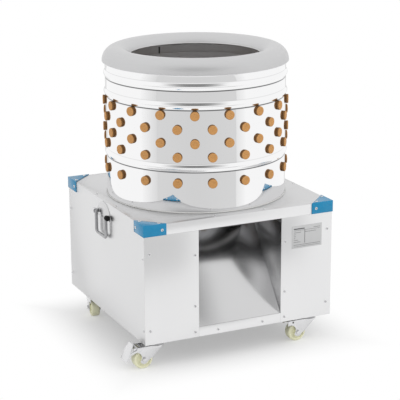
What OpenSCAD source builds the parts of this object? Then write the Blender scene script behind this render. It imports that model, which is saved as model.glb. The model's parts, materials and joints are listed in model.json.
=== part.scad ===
// Drum poultry plucker on a castor cabinet.
// Millimetres. The origin is on the floor under the drum's axis, +Z is up and the outlet faces -Y.

/* [Cabinet] */
// Width and depth of the square cabinet over its sheets
cab_w = 616; // [600:1:680]
// Height of the cabinet from its base to the table top
cab_h = 361; // [340:1:420]
// Thickness of the cabinet's sheets
sheet_t = 1.5; // [1:0.1:2.5]
// Thickness of the table top
top_t = 2; // [1.5:0.1:3]
// Depth of the folded edge at the table's front and back
skirt_h = 33; // [30:1:45]
// Width of the feather outlet in the front
outlet_w = 272; // [220:1:300]
// Slope of the feather chute above the horizontal
chute_angle = 53.5; // [50:0.5:60]
// Length of each arm of a corner guard
guard_arm = 70; // [60:1:80]
// Thickness of a corner guard
guard_t = 2; // [1:0.1:3]
// Width of the rating plate
rating_w = 102; // [70:1:120]
// Height of the rating plate
rating_h = 70; // [50:1:90]
// Drop from the table top to the rating plate's centre
rating_drop = 98; // [90:1:140]
// Radius of a screw head
screw_r = 4.5; // [3:0.1:6]
// Height of a screw head
screw_h = 2; // [1:0.1:3]

/* [Frame] */
// Side of the frame's square tubes
rail_s = 26; // [20:1:30]
// Wall of the frame's square tubes
rail_t = 2; // [1.5:0.1:3]
// Thickness of the corner plates that the castors bolt to
gusset_t = 4; // [3:0.5:6]
// Distance from the drum's axis to the centre of a bearing beam
beam_y = 60; // [56:1:64]

/* [Drum] */
// Outer radius of the drum's wall
drum_r = 275; // [272:1:278]
// Thickness of the drum's wall
drum_t = 2; // [1.5:0.1:3]
// Height of the drum above the table
drum_h = 408.5; // [400:0.5:460]
// How far a pressed bead stands out
bead_rise = 4.5; // [3:0.1:6]
// Height of a bead on the wall
bead_h = 23; // [18:0.5:26]
// Height of the low bead above the table
bead_low_z = 134; // [130:0.5:138]
// Height of the middle bead above the table
bead_mid_z = 317.5; // [316:0.5:322]
// Height of the top bead above the table
bead_top_z = 373; // [366:0.5:380]
// How far the drum's top flange stands out
rim_lip = 8.5; // [6:0.5:11]
// Thickness of the drum's top flange
rim_t = 2; // [1.5:0.1:4]

/* [Feed ring] */
// Outer radius of the ring's half-round section
ring_r = 43; // [40:1:52]
// Thickness of the ring's sheet
ring_t = 2; // [1.5:0.1:3]
// Height of the ring's inner edge above the drum's rim
ring_inner_lift = 15; // [5:1:25]

/* [Fingers] */
// Columns of fingers in one row of the wall
finger_columns = 17; // [15:1:18]
// Turn of the first column from the front
finger_turn = -25.5; // [-30:0.5:0]
// Height of the lowest row above the table
finger_low_z = 89; // [86:0.5:96]
// Height of the first of the four upper rows
finger_upper_z = 166.5; // [164:0.5:170]
// Spacing of the upper rows
finger_pitch = 41; // [38:0.5:42]
// Reach of a finger from the outer face of its seat
finger_l = 80; // [70:1:84]
// Radius of a finger's neck
finger_neck_r = 10; // [8:0.1:11]
// Radius of a finger's head
finger_head_r = 14; // [12.5:0.1:15]
// Height of a finger's head
finger_head_h = 8; // [6:0.1:10]
// Radius of a finger's tip
finger_tip_r = 6.5; // [5:0.1:8]
// Number of ribs on a finger
finger_ribs = 3; // [2:1:6]

/* [Feather plate] */
// Radius of the spinning plate
feather_r = 262; // [240:1:265]
// Thickness of the spinning plate
feather_t = 4; // [3:0.5:6]
// Height of the plate's underside above the table
feather_lift = 5; // [3:0.5:10]
// Depth of the pan under the table
pan_depth = 45; // [40:1:55]
// Radius of the hub's flange
hub_r = 58; // [50:1:60]
// Thickness of the hub's flange
hub_t = 10; // [6:0.5:12]
// Thickness of a sweeper blade
sweeper_t = 4; // [3:0.5:6]

/* [Drive] */
// Radius of the main shaft
shaft_r = 15; // [12:0.5:18]
// Radius of a bearing's housing
bearing_r = 42; // [36:1:45]
// Height of a bearing's housing above its flange
bearing_h = 22; // [18:1:26]
// Thickness of a bearing's flange
flange_t = 6; // [4:0.5:8]
// Distance from the drum's axis to the motor's axis
motor_y = 185; // [180:1:190]
// Radius of the motor's body over its fins
motor_r = 70; // [60:1:74]
// Radius of the motor's shaft
motor_shaft_r = 9.5; // [7:0.5:12]
// Belt radius on the driven pulley
driven_belt_r = 105; // [90:1:110]
// Belt radius on the motor's pulley
motor_belt_r = 28; // [24:1:36]
// Width of the belt
belt_w = 16; // [12:1:18]
// Thickness of the belt
belt_t = 4; // [3:0.5:5]

/* [Castors] */
// Height from the floor to the cabinet's base
castor_h = 86; // [84:1:100]
// Distance from the cabinet's faces to a castor's swivel axis
castor_inset = 51; // [48:1:60]
// Trail of a castor wheel behind its swivel axis
castor_trail = 42; // [40:1:46]
// Radius of a wheel
wheel_r = 30; // [26:0.5:32]
// Width of a wheel's tread
wheel_w = 28; // [22:1:32]
// Radius of an axle bolt
axle_r = 4; // [3:0.1:5]
// Side of a castor's square mounting plate
castor_plate_w = 70; // [60:1:74]
// Thickness of a castor's mounting plate
castor_plate_t = 4; // [3:0.5:6]
// Radius of a swivel's raceway
raceway_r = 26; // [22:0.5:28]
// Radius of a castor's king pin
king_r = 6; // [5:0.5:8]
// Thickness of a fork's leg
fork_t = 3; // [2.5:0.5:4]
// Thickness of a fork's crown
crown_t = 6; // [4:0.5:6]
// Thickness of a brake pedal's plate
pedal_t = 3; // [2:0.5:4]
// Width of a brake pedal's tread
pedal_w = 46; // [46:1:56]

/* [Handles] */
// Radius of a handle's domed back plate
handle_plate_r = 56; // [54:1:60]
// Thickness of a handle's back plate
handle_plate_t = 2; // [1.5:0.1:3]
// Drop from the table top to a bail's hinge
hinge_drop = 42; // [38:1:50]
// Radius of a bail's rod
bail_r = 5; // [4:0.1:6]
// Spacing of a bail's two legs, between rod centres
bail_w = 78; // [70:1:80]
// Drop from a bail's hinge to the centre of its grip
bail_drop = 64; // [50:1:80]
// Bend radius of a bail's corners
bail_bend = 10; // [8:0.5:16]
// Radius of a bail's pins
bail_pin_r = 4; // [3:0.1:5]
// Radius of a pivot boss
boss_r = 8; // [7:0.1:9]

/* [Switch] */
// Width of the switch box
switch_w = 80; // [70:1:100]
// Height of the switch box
switch_h = 120; // [110:1:140]
// Depth of the switch box
switch_d = 38; // [34:0.5:38]
// Wall of the switch box
switch_t = 2.5; // [2:0.1:3]
// Distance from the cabinet's front to the middle of the switch box
switch_inset = 153; // [88:1:170]
// Radius of a button
button_r = 11; // [8:0.1:14]
// Travel of a button
button_travel = 4; // [2:0.1:5]
// Radius of the gland's bore
gland_bore_r = 4.5; // [3:0.1:6]
// Length of the gland below the box
gland_l = 18; // [14:0.5:24]

/* [Hidden] */
$fn = 64;

// Clearances
run_fit = 0.05;
seat_gap = 0.3;
flat_gap = 0.1;
slide_gap = 0.3;
cut = 1;

// Cabinet planes
half = cab_w / 2;
inner = half - sheet_t;
base_z = castor_h;
table_z = base_z + cab_h;
table_under = table_z - top_t;
skirt_z = table_z - skirt_h;
rail_z = base_z + gusset_t;
sill_z = rail_z + rail_s;
post_c = inner - rail_s / 2;
rail_l = 2 * (inner - rail_s);
outlet_x = outlet_w / 2;
panel_c = (outlet_x + half) / 2;
rating_t = 1;

// Back vents
vent_w = 90;
vent_h = 6;
vent_pitch = 16;
vent_rows = 6;
vent_x = 75;

// Screws: distances from the edges and heights above the base
screw_edge = 8;
screw_in = outlet_x + 12;
screw_out = half - 16;
screw_in_zs = [16, 97, 254];
screw_out_zs = [42, 276];
screw_side_zs = [42, 261];
sill_screw = 74;
screw_back = 195;
table_screw = drum_r - screw_back;
guard_screw = half - guard_arm + 14;
guard_screw_z = table_z - skirt_h / 2;
guard_top_screw = half - guard_arm + 20;

// Drum and pan
drum_in_r = drum_r - drum_t;
rim_z = table_z + drum_h;
rim_r = drum_r + rim_lip;
bead_r = (pow(bead_h / 2, 2) + pow(bead_rise, 2)) / (2 * bead_rise);
bead_c = drum_r + bead_rise - bead_r;
bead_zs = [bead_low_z, bead_mid_z, bead_top_z];
pan_z = table_under - pan_depth;
pan_floor_z = pan_z + sheet_t;
pan_r = drum_in_r + sheet_t;
pan_ledge = 2;
collar_gap = 6;
collar_h = 30;

// Chute
chute_run = sheet_t / sin(chute_angle);
chute_top_y = -inner + (pan_z - sill_z) / tan(chute_angle);

// Feather plate and shaft
feather_z = table_z + feather_lift;
feather_top = feather_z + feather_t;
hub_wall = 12;
hub_boss_r = shaft_r + hub_wall;
hub_boss_h = 34;
collar_r = hub_boss_r + collar_gap;
nut_wall = 8;
nut_r = shaft_r + nut_wall;
nut_h = 20;
shaft_proud = 2;
ring_first_r = 80;
ring_mid_r = 130;
ring_last_r = 175;
plate_rings = [[ring_first_r, 6], [ring_mid_r, 10], [ring_last_r, 14]];
sweeper_inset = 8;
sweeper_edge = 4;
sweeper_in = hub_r + sweeper_inset;
sweeper_out = feather_r - sweeper_edge;
sweeper_clear = 3;
finger_bore_r = finger_neck_r + 0.2;
finger_collar_r = finger_head_r - 1;
finger_collar_h = 5;
finger_rib = 1.2;
finger_edge = 3;
finger_fillet = 1;

// Drive levels
pulley_flange = 3;
pulley_h = belt_w + 2 * pulley_flange;
pulley_lift = 6;
pulley_z = sill_z + pulley_lift;
pulley_rise = 5;
beam_gap = 16;
low_beam_z = pulley_z + pulley_h + beam_gap;
low_beam_top = low_beam_z + rail_s;
bearing_gap = 10;
high_beam_top = pan_z - bearing_h - flange_t - bearing_gap;
high_beam_z = high_beam_top - rail_s;
flange_w = 2 * beam_y + rail_s;
motor_beam_d = 70;
motor_plate_w = 180;
motor_base = low_beam_top + flange_t;
motor_gap = 8;
motor_top = pan_z - motor_gap;
motor_flange = 10;
motor_flange_r = motor_r + motor_flange;
motor_flange_h = 8;
fan_h = 58;
fan_z = motor_top - fan_h;
motor_fin = 5;
motor_fins = 20;
motor_fin_t = 3;
motor_end = 20;
motor_shaft_end = 40;
motor_hole = 6;
cover_t = 4;
grille_t = 2;
grille_slot = 8;
grille_rings = [20, 38, 56];
terminal_lift = 20;
shaft_tail = 8;
shaft_foot = pulley_z - shaft_tail;
terminal_d = 36;
terminal_w = 66;
terminal_h = 60;

// Castors: swivel axis and the way each one trails
castor_c = half - castor_inset;
castor_names = ["front_left", "front_right", "back_left", "back_right"];
castor_signs = [[-1, -1], [1, -1], [-1, 1], [1, 1]];
castor_turns = [180, 180, 258, 0];
gusset_edge = 5;
gusset_w = castor_inset + castor_plate_w / 2 + gusset_edge - sheet_t;
castor_top = castor_h - castor_plate_t;
raceway_h = 12;
crown_top = castor_top - raceway_h;
crown_z = crown_top - crown_t;
wheel_side_gap = 2;
fork_in = wheel_w / 2 + wheel_side_gap;
fork_out = fork_in + fork_t;
axle_boss_r = 13;
axle_head_r = 7;
axle_head_h = 5;
wheel_boss_r = 9;
wheel_dish = 4;
wheel_crown = 4;
wheel_rim = 7;
wheel_ease = 1;
king_nut_h = 6;
king_nut_r = king_r + 4;
leg_front = -14;
leg_back = castor_trail + 34;
leg_heel = 25;
leg_heel_z = wheel_r + 3;
leg_neck = 8;
arch_r = 17.5;
arch_t = castor_trail + 25;
arch_z = wheel_r + 8;
pin_r = 3;
pin_back = 17;
pin_t = castor_trail + pin_back;
pin_drop = 6;
pin_z = crown_top - pin_drop;
pedal_top = [castor_trail + 31, castor_top];
pedal_foot = [castor_trail + 55, 33];
pedal_top_w = 28;
arm_in = fork_out + slide_gap + flat_gap;
arm_t = 3;
arm_eye = 4;
arm_foot = [6, -10];

// Handles
hinge_x = half + handle_plate_t + boss_r + slide_gap;
hinge_z = table_z - hinge_drop;
dome_flat = 4;
dome_drop = 3;
dome_z = table_z - dome_drop - handle_plate_r;
boss_y = bail_w / 2 + bail_r + slide_gap;
boss_l = 11;
boss_foot = 12;
boss_cap = 1.5;
pin_play = 0.5;

// Switch box
switch_y = half - switch_inset;
switch_drop = 60;
switch_top = table_z - switch_drop;
switch_c = switch_top - switch_h / 2;
button_z = switch_h / 4;
button_rest = 2;
button_proud = button_travel + button_rest;
button_lip = 2;
button_lip_t = 5;
gland_wall = 4.5;
gland_nut_h = 8;
gland_nut = 3;

// Placing helpers

module yz_prism(x0, length) {
    translate([x0, 0, 0]) rotate([90, 0, 90]) linear_extrude(length) children();
}

module xz_prism(y1, length) {
    translate([0, y1, 0]) rotate([90, 0, 0]) linear_extrude(length) children();
}

module both_sides() {
    children();
    mirror([1, 0, 0]) children();
}

module both_ends() {
    children();
    mirror([0, 1, 0]) children();
}

module block(from, to) {
    translate(from) cube(to - from);
}

// Frame of square tubes

module tube(length) {
    difference() {
        translate([-rail_s / 2, -rail_s / 2, 0]) cube([rail_s, rail_s, length]);
        translate([-rail_s / 2 + rail_t, -rail_s / 2 + rail_t, -cut])
            cube([rail_s - 2 * rail_t, rail_s - 2 * rail_t, length + 2 * cut]);
    }
}

module tube_x(y, z) {
    translate([-rail_l / 2, y, z + rail_s / 2]) rotate([0, 90, 0]) tube(rail_l);
}

module tube_y(x, z) {
    translate([x, rail_l / 2, z + rail_s / 2]) rotate([90, 0, 0]) tube(rail_l);
}

module frame_posts() color("dimgray") {
    for (s = castor_signs) {
        translate([s.x * post_c, s.y * post_c, rail_z]) tube(table_under - rail_z);
    }
}

module frame_rails() color("dimgray") {
    for (z = [rail_z, table_under - rail_s]) {
        both_ends() tube_x(post_c, z);
        both_sides() tube_y(post_c, z);
    }
}

module drive_beams() color("gray") {
    for (z = [low_beam_z, high_beam_z]) {
        both_sides() tube_y(post_c, z);
        both_ends() tube_x(beam_y, z);
    }
    for (d = [-motor_beam_d, motor_beam_d]) {
        tube_x(motor_y + d, low_beam_z);
    }
}

module castor_gussets() color("dimgray") {
    for (s = castor_signs) {
        translate([s.x * (inner - gusset_w / 2), s.y * (inner - gusset_w / 2), base_z + gusset_t / 2])
            cube([gusset_w, gusset_w, gusset_t], center = true);
    }
}

// Cabinet sheets

module table_top() color("lightgray") {
    difference() {
        block([-half, -half, table_under], [half, half, table_z]);
        translate([0, 0, table_under - cut]) cylinder(r = drum_in_r, h = top_t + 2 * cut);
    }
    both_ends() block([-half, -half, skirt_z], [half, -inner, table_under]);
}

module front_panel() {
    block([outlet_x, -half, base_z], [half, -inner, skirt_z]);
}

module front_panel_left() color("gainsboro") mirror([1, 0, 0]) front_panel();

module front_panel_right() color("gainsboro") front_panel();

module front_beam() color("gainsboro") {
    block([-outlet_x, -half, base_z], [outlet_x, -inner, sill_z]);
}

module side_panel() {
    block([inner, -inner, base_z], [half, inner, table_under]);
}

module side_panel_left() color("silver") mirror([1, 0, 0]) side_panel();

module side_panel_right() color("silver") side_panel();

module back_panel() color("silver") {
    difference() {
        block([-half, inner, base_z], [half, half, skirt_z]);
        both_sides() for (i = [0 : vent_rows - 1]) {
            translate([vent_x - vent_w / 2, inner - cut, fan_z - i * vent_pitch])
                cube([vent_w, sheet_t + 2 * cut, vent_h]);
        }
    }
}

module corner_guard() {
    outer = half + guard_t;
    block([half - guard_arm, -outer, skirt_z], [outer, -half, table_z + guard_t]);
    block([half, -outer, skirt_z], [outer, -half + guard_arm, table_z + guard_t]);
    translate([0, 0, table_z]) linear_extrude(guard_t)
        polygon([[half - guard_arm, -outer], [outer, -outer], [outer, -half + guard_arm]]);
}

module corner_guards() color("royalblue") {
    both_ends() both_sides() corner_guard();
}

// Pan-head screws, set by the face that they sit on

module screw() {
    cylinder(r = screw_r, h = screw_h);
}

module front_screw(x, z, proud = 0) {
    translate([x, -half - proud, z]) rotate([90, 0, 0]) screw();
}

module side_screw(y, z, proud = 0) {
    translate([half + proud, y, z]) rotate([0, 90, 0]) screw();
}

module edge_screws(along, z) {
    translate([along, -half + screw_edge, z]) screw();
    translate([half - screw_edge, along, z]) screw();
}

module panel_screws() color("whitesmoke") {
    both_sides() {
        for (z = screw_in_zs) front_screw(screw_in, base_z + z);
        for (z = screw_out_zs) front_screw(screw_out, base_z + z);
        front_screw(sill_screw, base_z + rail_s / 2);
        for (z = screw_out_zs) mirror([0, 1, 0]) front_screw(screw_out, base_z + z);
        both_ends() {
            for (z = screw_side_zs) side_screw(-inner + screw_edge, base_z + z);
            front_screw(guard_screw, guard_screw_z, guard_t);
            side_screw(guard_screw, guard_screw_z, guard_t);
            edge_screws(table_screw, table_z);
            edge_screws(guard_top_screw, table_z + guard_t);
        }
    }
}

module rating_plate() color("white") {
    block([panel_c - rating_w / 2, -half - rating_t, table_z - rating_drop - rating_h / 2],
          [panel_c + rating_w / 2, -half, table_z - rating_drop + rating_h / 2]);
}

// Feather chute

module chute_floor() color("lightgray") {
    yz_prism(-outlet_x, outlet_w)
        polygon([[-inner, sill_z], [chute_top_y, pan_z], [chute_top_y + chute_run, pan_z],
                 [-inner + chute_run, sill_z]]);
}

module chute_cheeks() color("silver") {
    both_sides() yz_prism(outlet_x, sheet_t)
        polygon([[-inner, sill_z], [-inner, pan_z], [chute_top_y + chute_run, pan_z],
                 [-inner + chute_run, sill_z]]);
}

// Drum, pan and feed ring

module drum_pan() color("silver") {
    difference() {
        translate([0, 0, pan_z]) cylinder(r = pan_r, h = pan_depth);
        translate([0, 0, pan_floor_z]) cylinder(r = drum_in_r, h = pan_depth);
        translate([0, 0, pan_z - cut]) cylinder(r = collar_r, h = pan_depth);
        intersection() {
            translate([0, 0, pan_z - cut]) cylinder(r = drum_in_r - pan_ledge, h = sheet_t + 2 * cut);
            block([-outlet_x + pan_ledge, -drum_r, pan_z - cut],
                  [outlet_x - pan_ledge, chute_top_y, pan_floor_z + cut]);
        }
    }
    difference() {
        translate([0, 0, pan_z]) cylinder(r = collar_r + sheet_t, h = collar_h);
        translate([0, 0, pan_z - cut]) cylinder(r = collar_r, h = collar_h + 2 * cut);
    }
}

module drum_side(wall_r, round_r) {
    square([wall_r, drum_h]);
    for (z = bead_zs) translate([bead_c, z]) circle(round_r);
}

module drum_shell() color("whitesmoke") {
    difference() {
        translate([0, 0, table_z]) rotate_extrude() {
            difference() {
                drum_side(drum_r, bead_r);
                translate([0, -cut]) square([drum_in_r, drum_h + 2 * cut]);
                for (z = bead_zs) translate([bead_c, z]) circle(bead_r - drum_t);
            }
            translate([drum_r - drum_t, drum_h - rim_t]) square([rim_lip + drum_t, rim_t]);
        }
        at_wall_seats() translate([0, 0, -2 * finger_head_h])
            cylinder(r = finger_bore_r, h = 4 * finger_head_h);
    }
}

module feed_ring() color("gainsboro") {
    ring_c = rim_r - ring_r;
    translate([0, 0, rim_z]) rotate_extrude() difference() {
        translate([ring_c, 0]) circle(ring_r);
        translate([ring_c, 0]) circle(ring_r - ring_t);
        translate([0, -2 * ring_r]) square([rim_r + cut, 2 * ring_r]);
        square([ring_c, ring_inner_lift]);
    }
}

// Rubber fingers: the axis runs up from the outer face of the seat

module finger(seat_t, head_gap, collar_play) {
    collar_z = seat_t + collar_play;
    root_z = collar_z + finger_collar_h;
    tip_z = finger_l - finger_tip_r;
    step = (tip_z - root_z) / finger_ribs;
    groove_r = function(i) finger_neck_r + (finger_tip_r - finger_neck_r) * i / finger_ribs;
    ribs = [for (i = [0 : finger_ribs - 1]) each [
        [groove_r(i), root_z + step * i], [groove_r(i), root_z + step * (i + 0.4)],
        [groove_r(i) + finger_rib, root_z + step * (i + 0.5)],
        [groove_r(i) + finger_rib, root_z + step * (i + 0.9)]
    ]];
    rotate_extrude() polygon(concat(
        [[0, -head_gap - finger_head_h], [finger_head_r - finger_edge, -head_gap - finger_head_h],
         [finger_head_r, -head_gap - finger_head_h + finger_edge], [finger_head_r, -head_gap],
         [finger_neck_r, -head_gap], [finger_neck_r, collar_z], [finger_collar_r, collar_z],
         [finger_collar_r, root_z - finger_fillet]],
        ribs,
        [[finger_tip_r, tip_z], [finger_tip_r * 0.7, finger_l - finger_tip_r * 0.3], [0, finger_l]]
    ));
}

module at_wall_seats() {
    step = 360 / finger_columns;
    for (i = [0 : finger_columns - 1]) {
        a = finger_turn + i * step;
        for (row = [1, 3]) wall_seat(a, finger_upper_z + row * finger_pitch) children();
        for (row = [0, 2]) wall_seat(a + step / 2, finger_upper_z + row * finger_pitch) children();
        wall_seat(a + step / 2, finger_low_z) children();
    }
}

module wall_seat(a, z) {
    rotate([0, 0, a]) translate([0, -drum_r, table_z + z]) rotate([-90, 0, 0]) children();
}

module wall_fingers() color("peru") {
    at_wall_seats() finger(drum_t, seat_gap, 2 * seat_gap);
}

module at_plate_seats() {
    for (ring = plate_rings) for (i = [0 : ring[1] - 1]) {
        rotate([0, 0, (i + 0.5) * 360 / ring[1]]) translate([ring[0], 0, feather_z]) children();
    }
}

module plate_fingers() color("peru") {
    at_plate_seats() finger(feather_t, flat_gap, flat_gap);
}

// Feather plate and its drive

module feather_plate() color("silver") {
    difference() {
        translate([0, 0, feather_z]) cylinder(r = feather_r, h = feather_t);
        translate([0, 0, feather_z - cut]) cylinder(r = shaft_r + run_fit, h = feather_t + 2 * cut);
        at_plate_seats() translate([0, 0, -cut]) cylinder(r = finger_bore_r, h = feather_t + 2 * cut);
    }
}

module plate_hub() color("gray") {
    difference() {
        union() {
            translate([0, 0, feather_z - hub_t]) cylinder(r = hub_r, h = hub_t);
            translate([0, 0, feather_z - hub_t - hub_boss_h]) cylinder(r = hub_boss_r, h = hub_boss_h + cut);
        }
        translate([0, 0, pan_z]) cylinder(r = shaft_r + run_fit, h = 2 * pan_depth);
    }
}

module plate_nut() color("silver") {
    difference() {
        translate([0, 0, feather_top]) cylinder(r = nut_r, h = nut_h, $fn = 6);
        translate([0, 0, feather_top - cut]) cylinder(r = shaft_r + run_fit, h = nut_h + 2 * cut);
    }
}

module main_shaft() color("slategray") {
    translate([0, 0, shaft_foot]) cylinder(r = shaft_r, h = feather_top + nut_h + shaft_proud - shaft_foot);
}

module sweeper_blades() color("darkslategray") {
    both_sides() block([sweeper_in, -sweeper_t / 2, pan_floor_z + sweeper_clear],
                       [sweeper_out, sweeper_t / 2, feather_z]);
}

module flange_bearing(z) {
    difference() {
        union() {
            translate([-flange_w / 2, -flange_w / 2, z]) cube([flange_w, flange_w, flange_t]);
            translate([0, 0, z]) cylinder(r = bearing_r, h = flange_t + bearing_h);
        }
        translate([0, 0, z - cut]) cylinder(r = shaft_r + run_fit, h = flange_t + bearing_h + 2 * cut);
    }
}

module upper_bearing() color("darkgreen") flange_bearing(high_beam_top);

module lower_bearing() color("darkgreen") flange_bearing(low_beam_top);

module pulley(belt_r, bore_r) {
    face_r = belt_r - belt_t / 2 - slide_gap;
    rim = belt_r + pulley_rise;
    difference() {
        rotate_extrude() polygon([
            [0, 0], [rim, 0], [rim, pulley_flange - slide_gap], [face_r, pulley_flange - slide_gap],
            [face_r, pulley_h - pulley_flange + slide_gap], [rim, pulley_h - pulley_flange + slide_gap],
            [rim, pulley_h], [0, pulley_h]
        ]);
        translate([0, 0, -cut]) cylinder(r = bore_r + run_fit, h = pulley_h + 2 * cut);
    }
}

module driven_pulley() color("dimgray") translate([0, 0, pulley_z]) pulley(driven_belt_r, shaft_r);

module motor_pulley() color("dimgray") {
    translate([0, motor_y, pulley_z]) pulley(motor_belt_r, motor_shaft_r);
}

module belt_loop(offset_r) {
    hull() {
        circle(driven_belt_r + offset_r, $fn = 96);
        translate([0, motor_y]) circle(motor_belt_r + offset_r, $fn = 48);
    }
}

module drive_belt() color("black") {
    translate([0, 0, pulley_z + pulley_flange]) linear_extrude(belt_w) difference() {
        belt_loop(belt_t / 2);
        belt_loop(-belt_t / 2);
    }
}

module motor_plate() color("gray") {
    difference() {
        translate([-motor_plate_w / 2, motor_y - motor_plate_w / 2 + rail_s / 4, low_beam_top])
            cube([motor_plate_w, motor_plate_w - rail_s / 2, flange_t]);
        translate([0, motor_y, low_beam_top - cut])
            cylinder(r = motor_shaft_r + motor_hole, h = flange_t + 2 * cut);
    }
}

module motor_body() color("steelblue") {
    translate([0, motor_y, motor_base]) difference() {
        union() {
            cylinder(r = motor_flange_r, h = motor_flange_h);
            cylinder(r = motor_r - motor_fin, h = fan_z - motor_base);
            for (i = [0 : motor_fins - 1]) rotate([0, 0, (i + 0.5) * 360 / motor_fins])
                block([motor_r - 2 * motor_fin, -motor_fin_t / 2, motor_flange_h],
                      [motor_r, motor_fin_t / 2, fan_z - motor_base]);
        }
        translate([0, 0, -cut]) cylinder(r = motor_shaft_r + run_fit, h = fan_z - motor_base - motor_end);
    }
}

module fan_cover() color("dimgray") {
    translate([0, motor_y, fan_z]) difference() {
        cylinder(r = motor_r, h = fan_h);
        translate([0, 0, -cut]) cylinder(r = motor_r - cover_t, h = fan_h - grille_t + cut);
        for (r = grille_rings) translate([0, 0, fan_h - grille_t - cut]) difference() {
            cylinder(r = r, h = grille_t + 2 * cut);
            cylinder(r = r - grille_slot, h = grille_t + 2 * cut);
            for (a = [0, 90]) rotate([0, 0, a]) translate([-motor_r, -grille_slot / 2, 0])
                cube([2 * motor_r, grille_slot, grille_t + 2 * cut]);
        }
    }
}

module terminal_box() color("dimgray") {
    translate([motor_r, motor_y - terminal_w / 2, motor_base + motor_flange_h + terminal_lift])
        cube([terminal_d, terminal_w, terminal_h]);
}

module motor_shaft() color("slategray") {
    translate([0, motor_y, shaft_foot])
        cylinder(r = motor_shaft_r, h = fan_z - motor_shaft_end - shaft_foot);
}

// Handles

module handle_plates() color("whitesmoke") {
    both_sides() yz_prism(half, handle_plate_t) intersection() {
        translate([0, dome_z]) circle(handle_plate_r);
        translate([-handle_plate_r, dome_z + dome_flat]) square([2 * handle_plate_r, 2 * handle_plate_r]);
    }
}

module handle_boss() {
    difference() {
        union() {
            translate([hinge_x, boss_y, hinge_z]) rotate([-90, 0, 0]) cylinder(r = boss_r, h = boss_l);
            block([half + handle_plate_t, boss_y, hinge_z - boss_foot / 2],
                  [hinge_x, boss_y + boss_l, hinge_z + boss_foot / 2]);
        }
        translate([hinge_x, boss_y - cut, hinge_z]) rotate([-90, 0, 0])
            cylinder(r = bail_pin_r + run_fit, h = boss_l + cut - boss_cap);
    }
}

module handle_bosses() color("black") {
    both_ends() both_sides() handle_boss();
}

module bail() {
    leg_l = bail_drop - bail_bend;
    both_ends() {
        translate([0, bail_w / 2, -leg_l]) cylinder(r = bail_r, h = leg_l + bail_r);
        translate([0, bail_w / 2, 0]) rotate([-90, 0, 0])
            cylinder(r = bail_pin_r, h = bail_r + slide_gap + boss_l - boss_cap - pin_play);
        translate([0, bail_w / 2 - bail_bend, -leg_l]) rotate([0, 90, 0])
            rotate_extrude(angle = 90) translate([bail_bend, 0]) circle(bail_r);
    }
    translate([0, bail_bend - bail_w / 2, -bail_drop]) rotate([-90, 0, 0])
        cylinder(r = bail_r, h = bail_w - 2 * bail_bend);
}

module bail_left() color("whitesmoke") translate([-hinge_x, 0, hinge_z]) bail();

module bail_right() color("whitesmoke") translate([hinge_x, 0, hinge_z]) bail();

// Castors: +X is the way the wheel trails

module at_castor(i) {
    translate([castor_signs[i].x * castor_c, castor_signs[i].y * castor_c, 0])
        rotate([0, 0, castor_turns[i]]) children();
}

module castor_plates() color("silver") {
    for (s = castor_signs) translate([s.x * castor_c, s.y * castor_c, 0]) {
        translate([0, 0, castor_top + castor_plate_t / 2])
            cube([castor_plate_w, castor_plate_w, castor_plate_t], center = true);
        translate([0, 0, crown_z - cut]) cylinder(r = king_r, h = castor_top - crown_z + 2 * cut);
        translate([0, 0, crown_z - slide_gap - king_nut_h]) cylinder(r = king_nut_r, h = king_nut_h);
    }
}

module castor_raceways() color("black") {
    for (s = castor_signs) translate([s.x * castor_c, s.y * castor_c, 0]) difference() {
        translate([0, 0, crown_top + slide_gap]) cylinder(r = raceway_r, h = raceway_h - slide_gap);
        translate([0, 0, crown_top]) cylinder(r = king_r + flat_gap, h = raceway_h + cut);
    }
}

module fork_leg() {
    difference() {
        union() {
            translate([castor_trail, wheel_r]) circle(axle_boss_r);
            polygon([[leg_front, crown_top], [leg_back, crown_top], [leg_back, arch_z],
                     [castor_trail + axle_boss_r, wheel_r], [castor_trail, wheel_r - axle_boss_r],
                     [castor_trail - leg_heel, leg_heel_z], [leg_front, crown_z]]);
        }
        translate([arch_t, arch_z]) circle(arch_r);
        translate([castor_trail, wheel_r]) circle(axle_r + run_fit);
        translate([pin_t, pin_z]) circle(pin_r + run_fit);
    }
}

module fork() {
    both_ends() xz_prism(fork_out, fork_t) fork_leg();
    translate([0, 0, crown_z]) linear_extrude(crown_t) difference() {
        union() {
            circle(raceway_r);
            translate([0, -fork_in - fork_t / 2]) square([castor_trail + leg_neck, 2 * fork_in + fork_t]);
        }
        circle(king_r + run_fit);
    }
}

module axle() {
    xz_prism(fork_out, 2 * fork_out) translate([castor_trail, wheel_r]) circle(axle_r);
    both_ends() translate([castor_trail, fork_out, wheel_r]) rotate([-90, 0, 0])
        cylinder(r = axle_head_r, h = axle_head_h, $fn = 6);
}

module wheel() {
    tread = wheel_w / 2;
    rim = wheel_r - wheel_rim;
    dish = tread - wheel_dish;
    shoulder = wheel_r - wheel_ease;
    boss = fork_in - slide_gap - flat_gap;
    translate([castor_trail, 0, wheel_r]) rotate([90, 0, 0]) difference() {
        rotate_extrude() polygon([
            [0, -boss], [wheel_boss_r, -boss], [wheel_boss_r, -dish], [rim - wheel_side_gap, -dish],
            [rim, -tread], [wheel_r - wheel_crown, -tread], [shoulder, -tread + wheel_crown],
            [wheel_r, -tread + 2 * wheel_crown], [wheel_r, tread - 2 * wheel_crown],
            [shoulder, tread - wheel_crown], [wheel_r - wheel_crown, tread], [rim, tread],
            [rim - wheel_side_gap, dish], [wheel_boss_r, dish], [wheel_boss_r, boss], [0, boss]
        ]);
        translate([0, 0, -fork_out]) cylinder(r = axle_r + run_fit, h = 2 * fork_out);
    }
}

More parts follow.
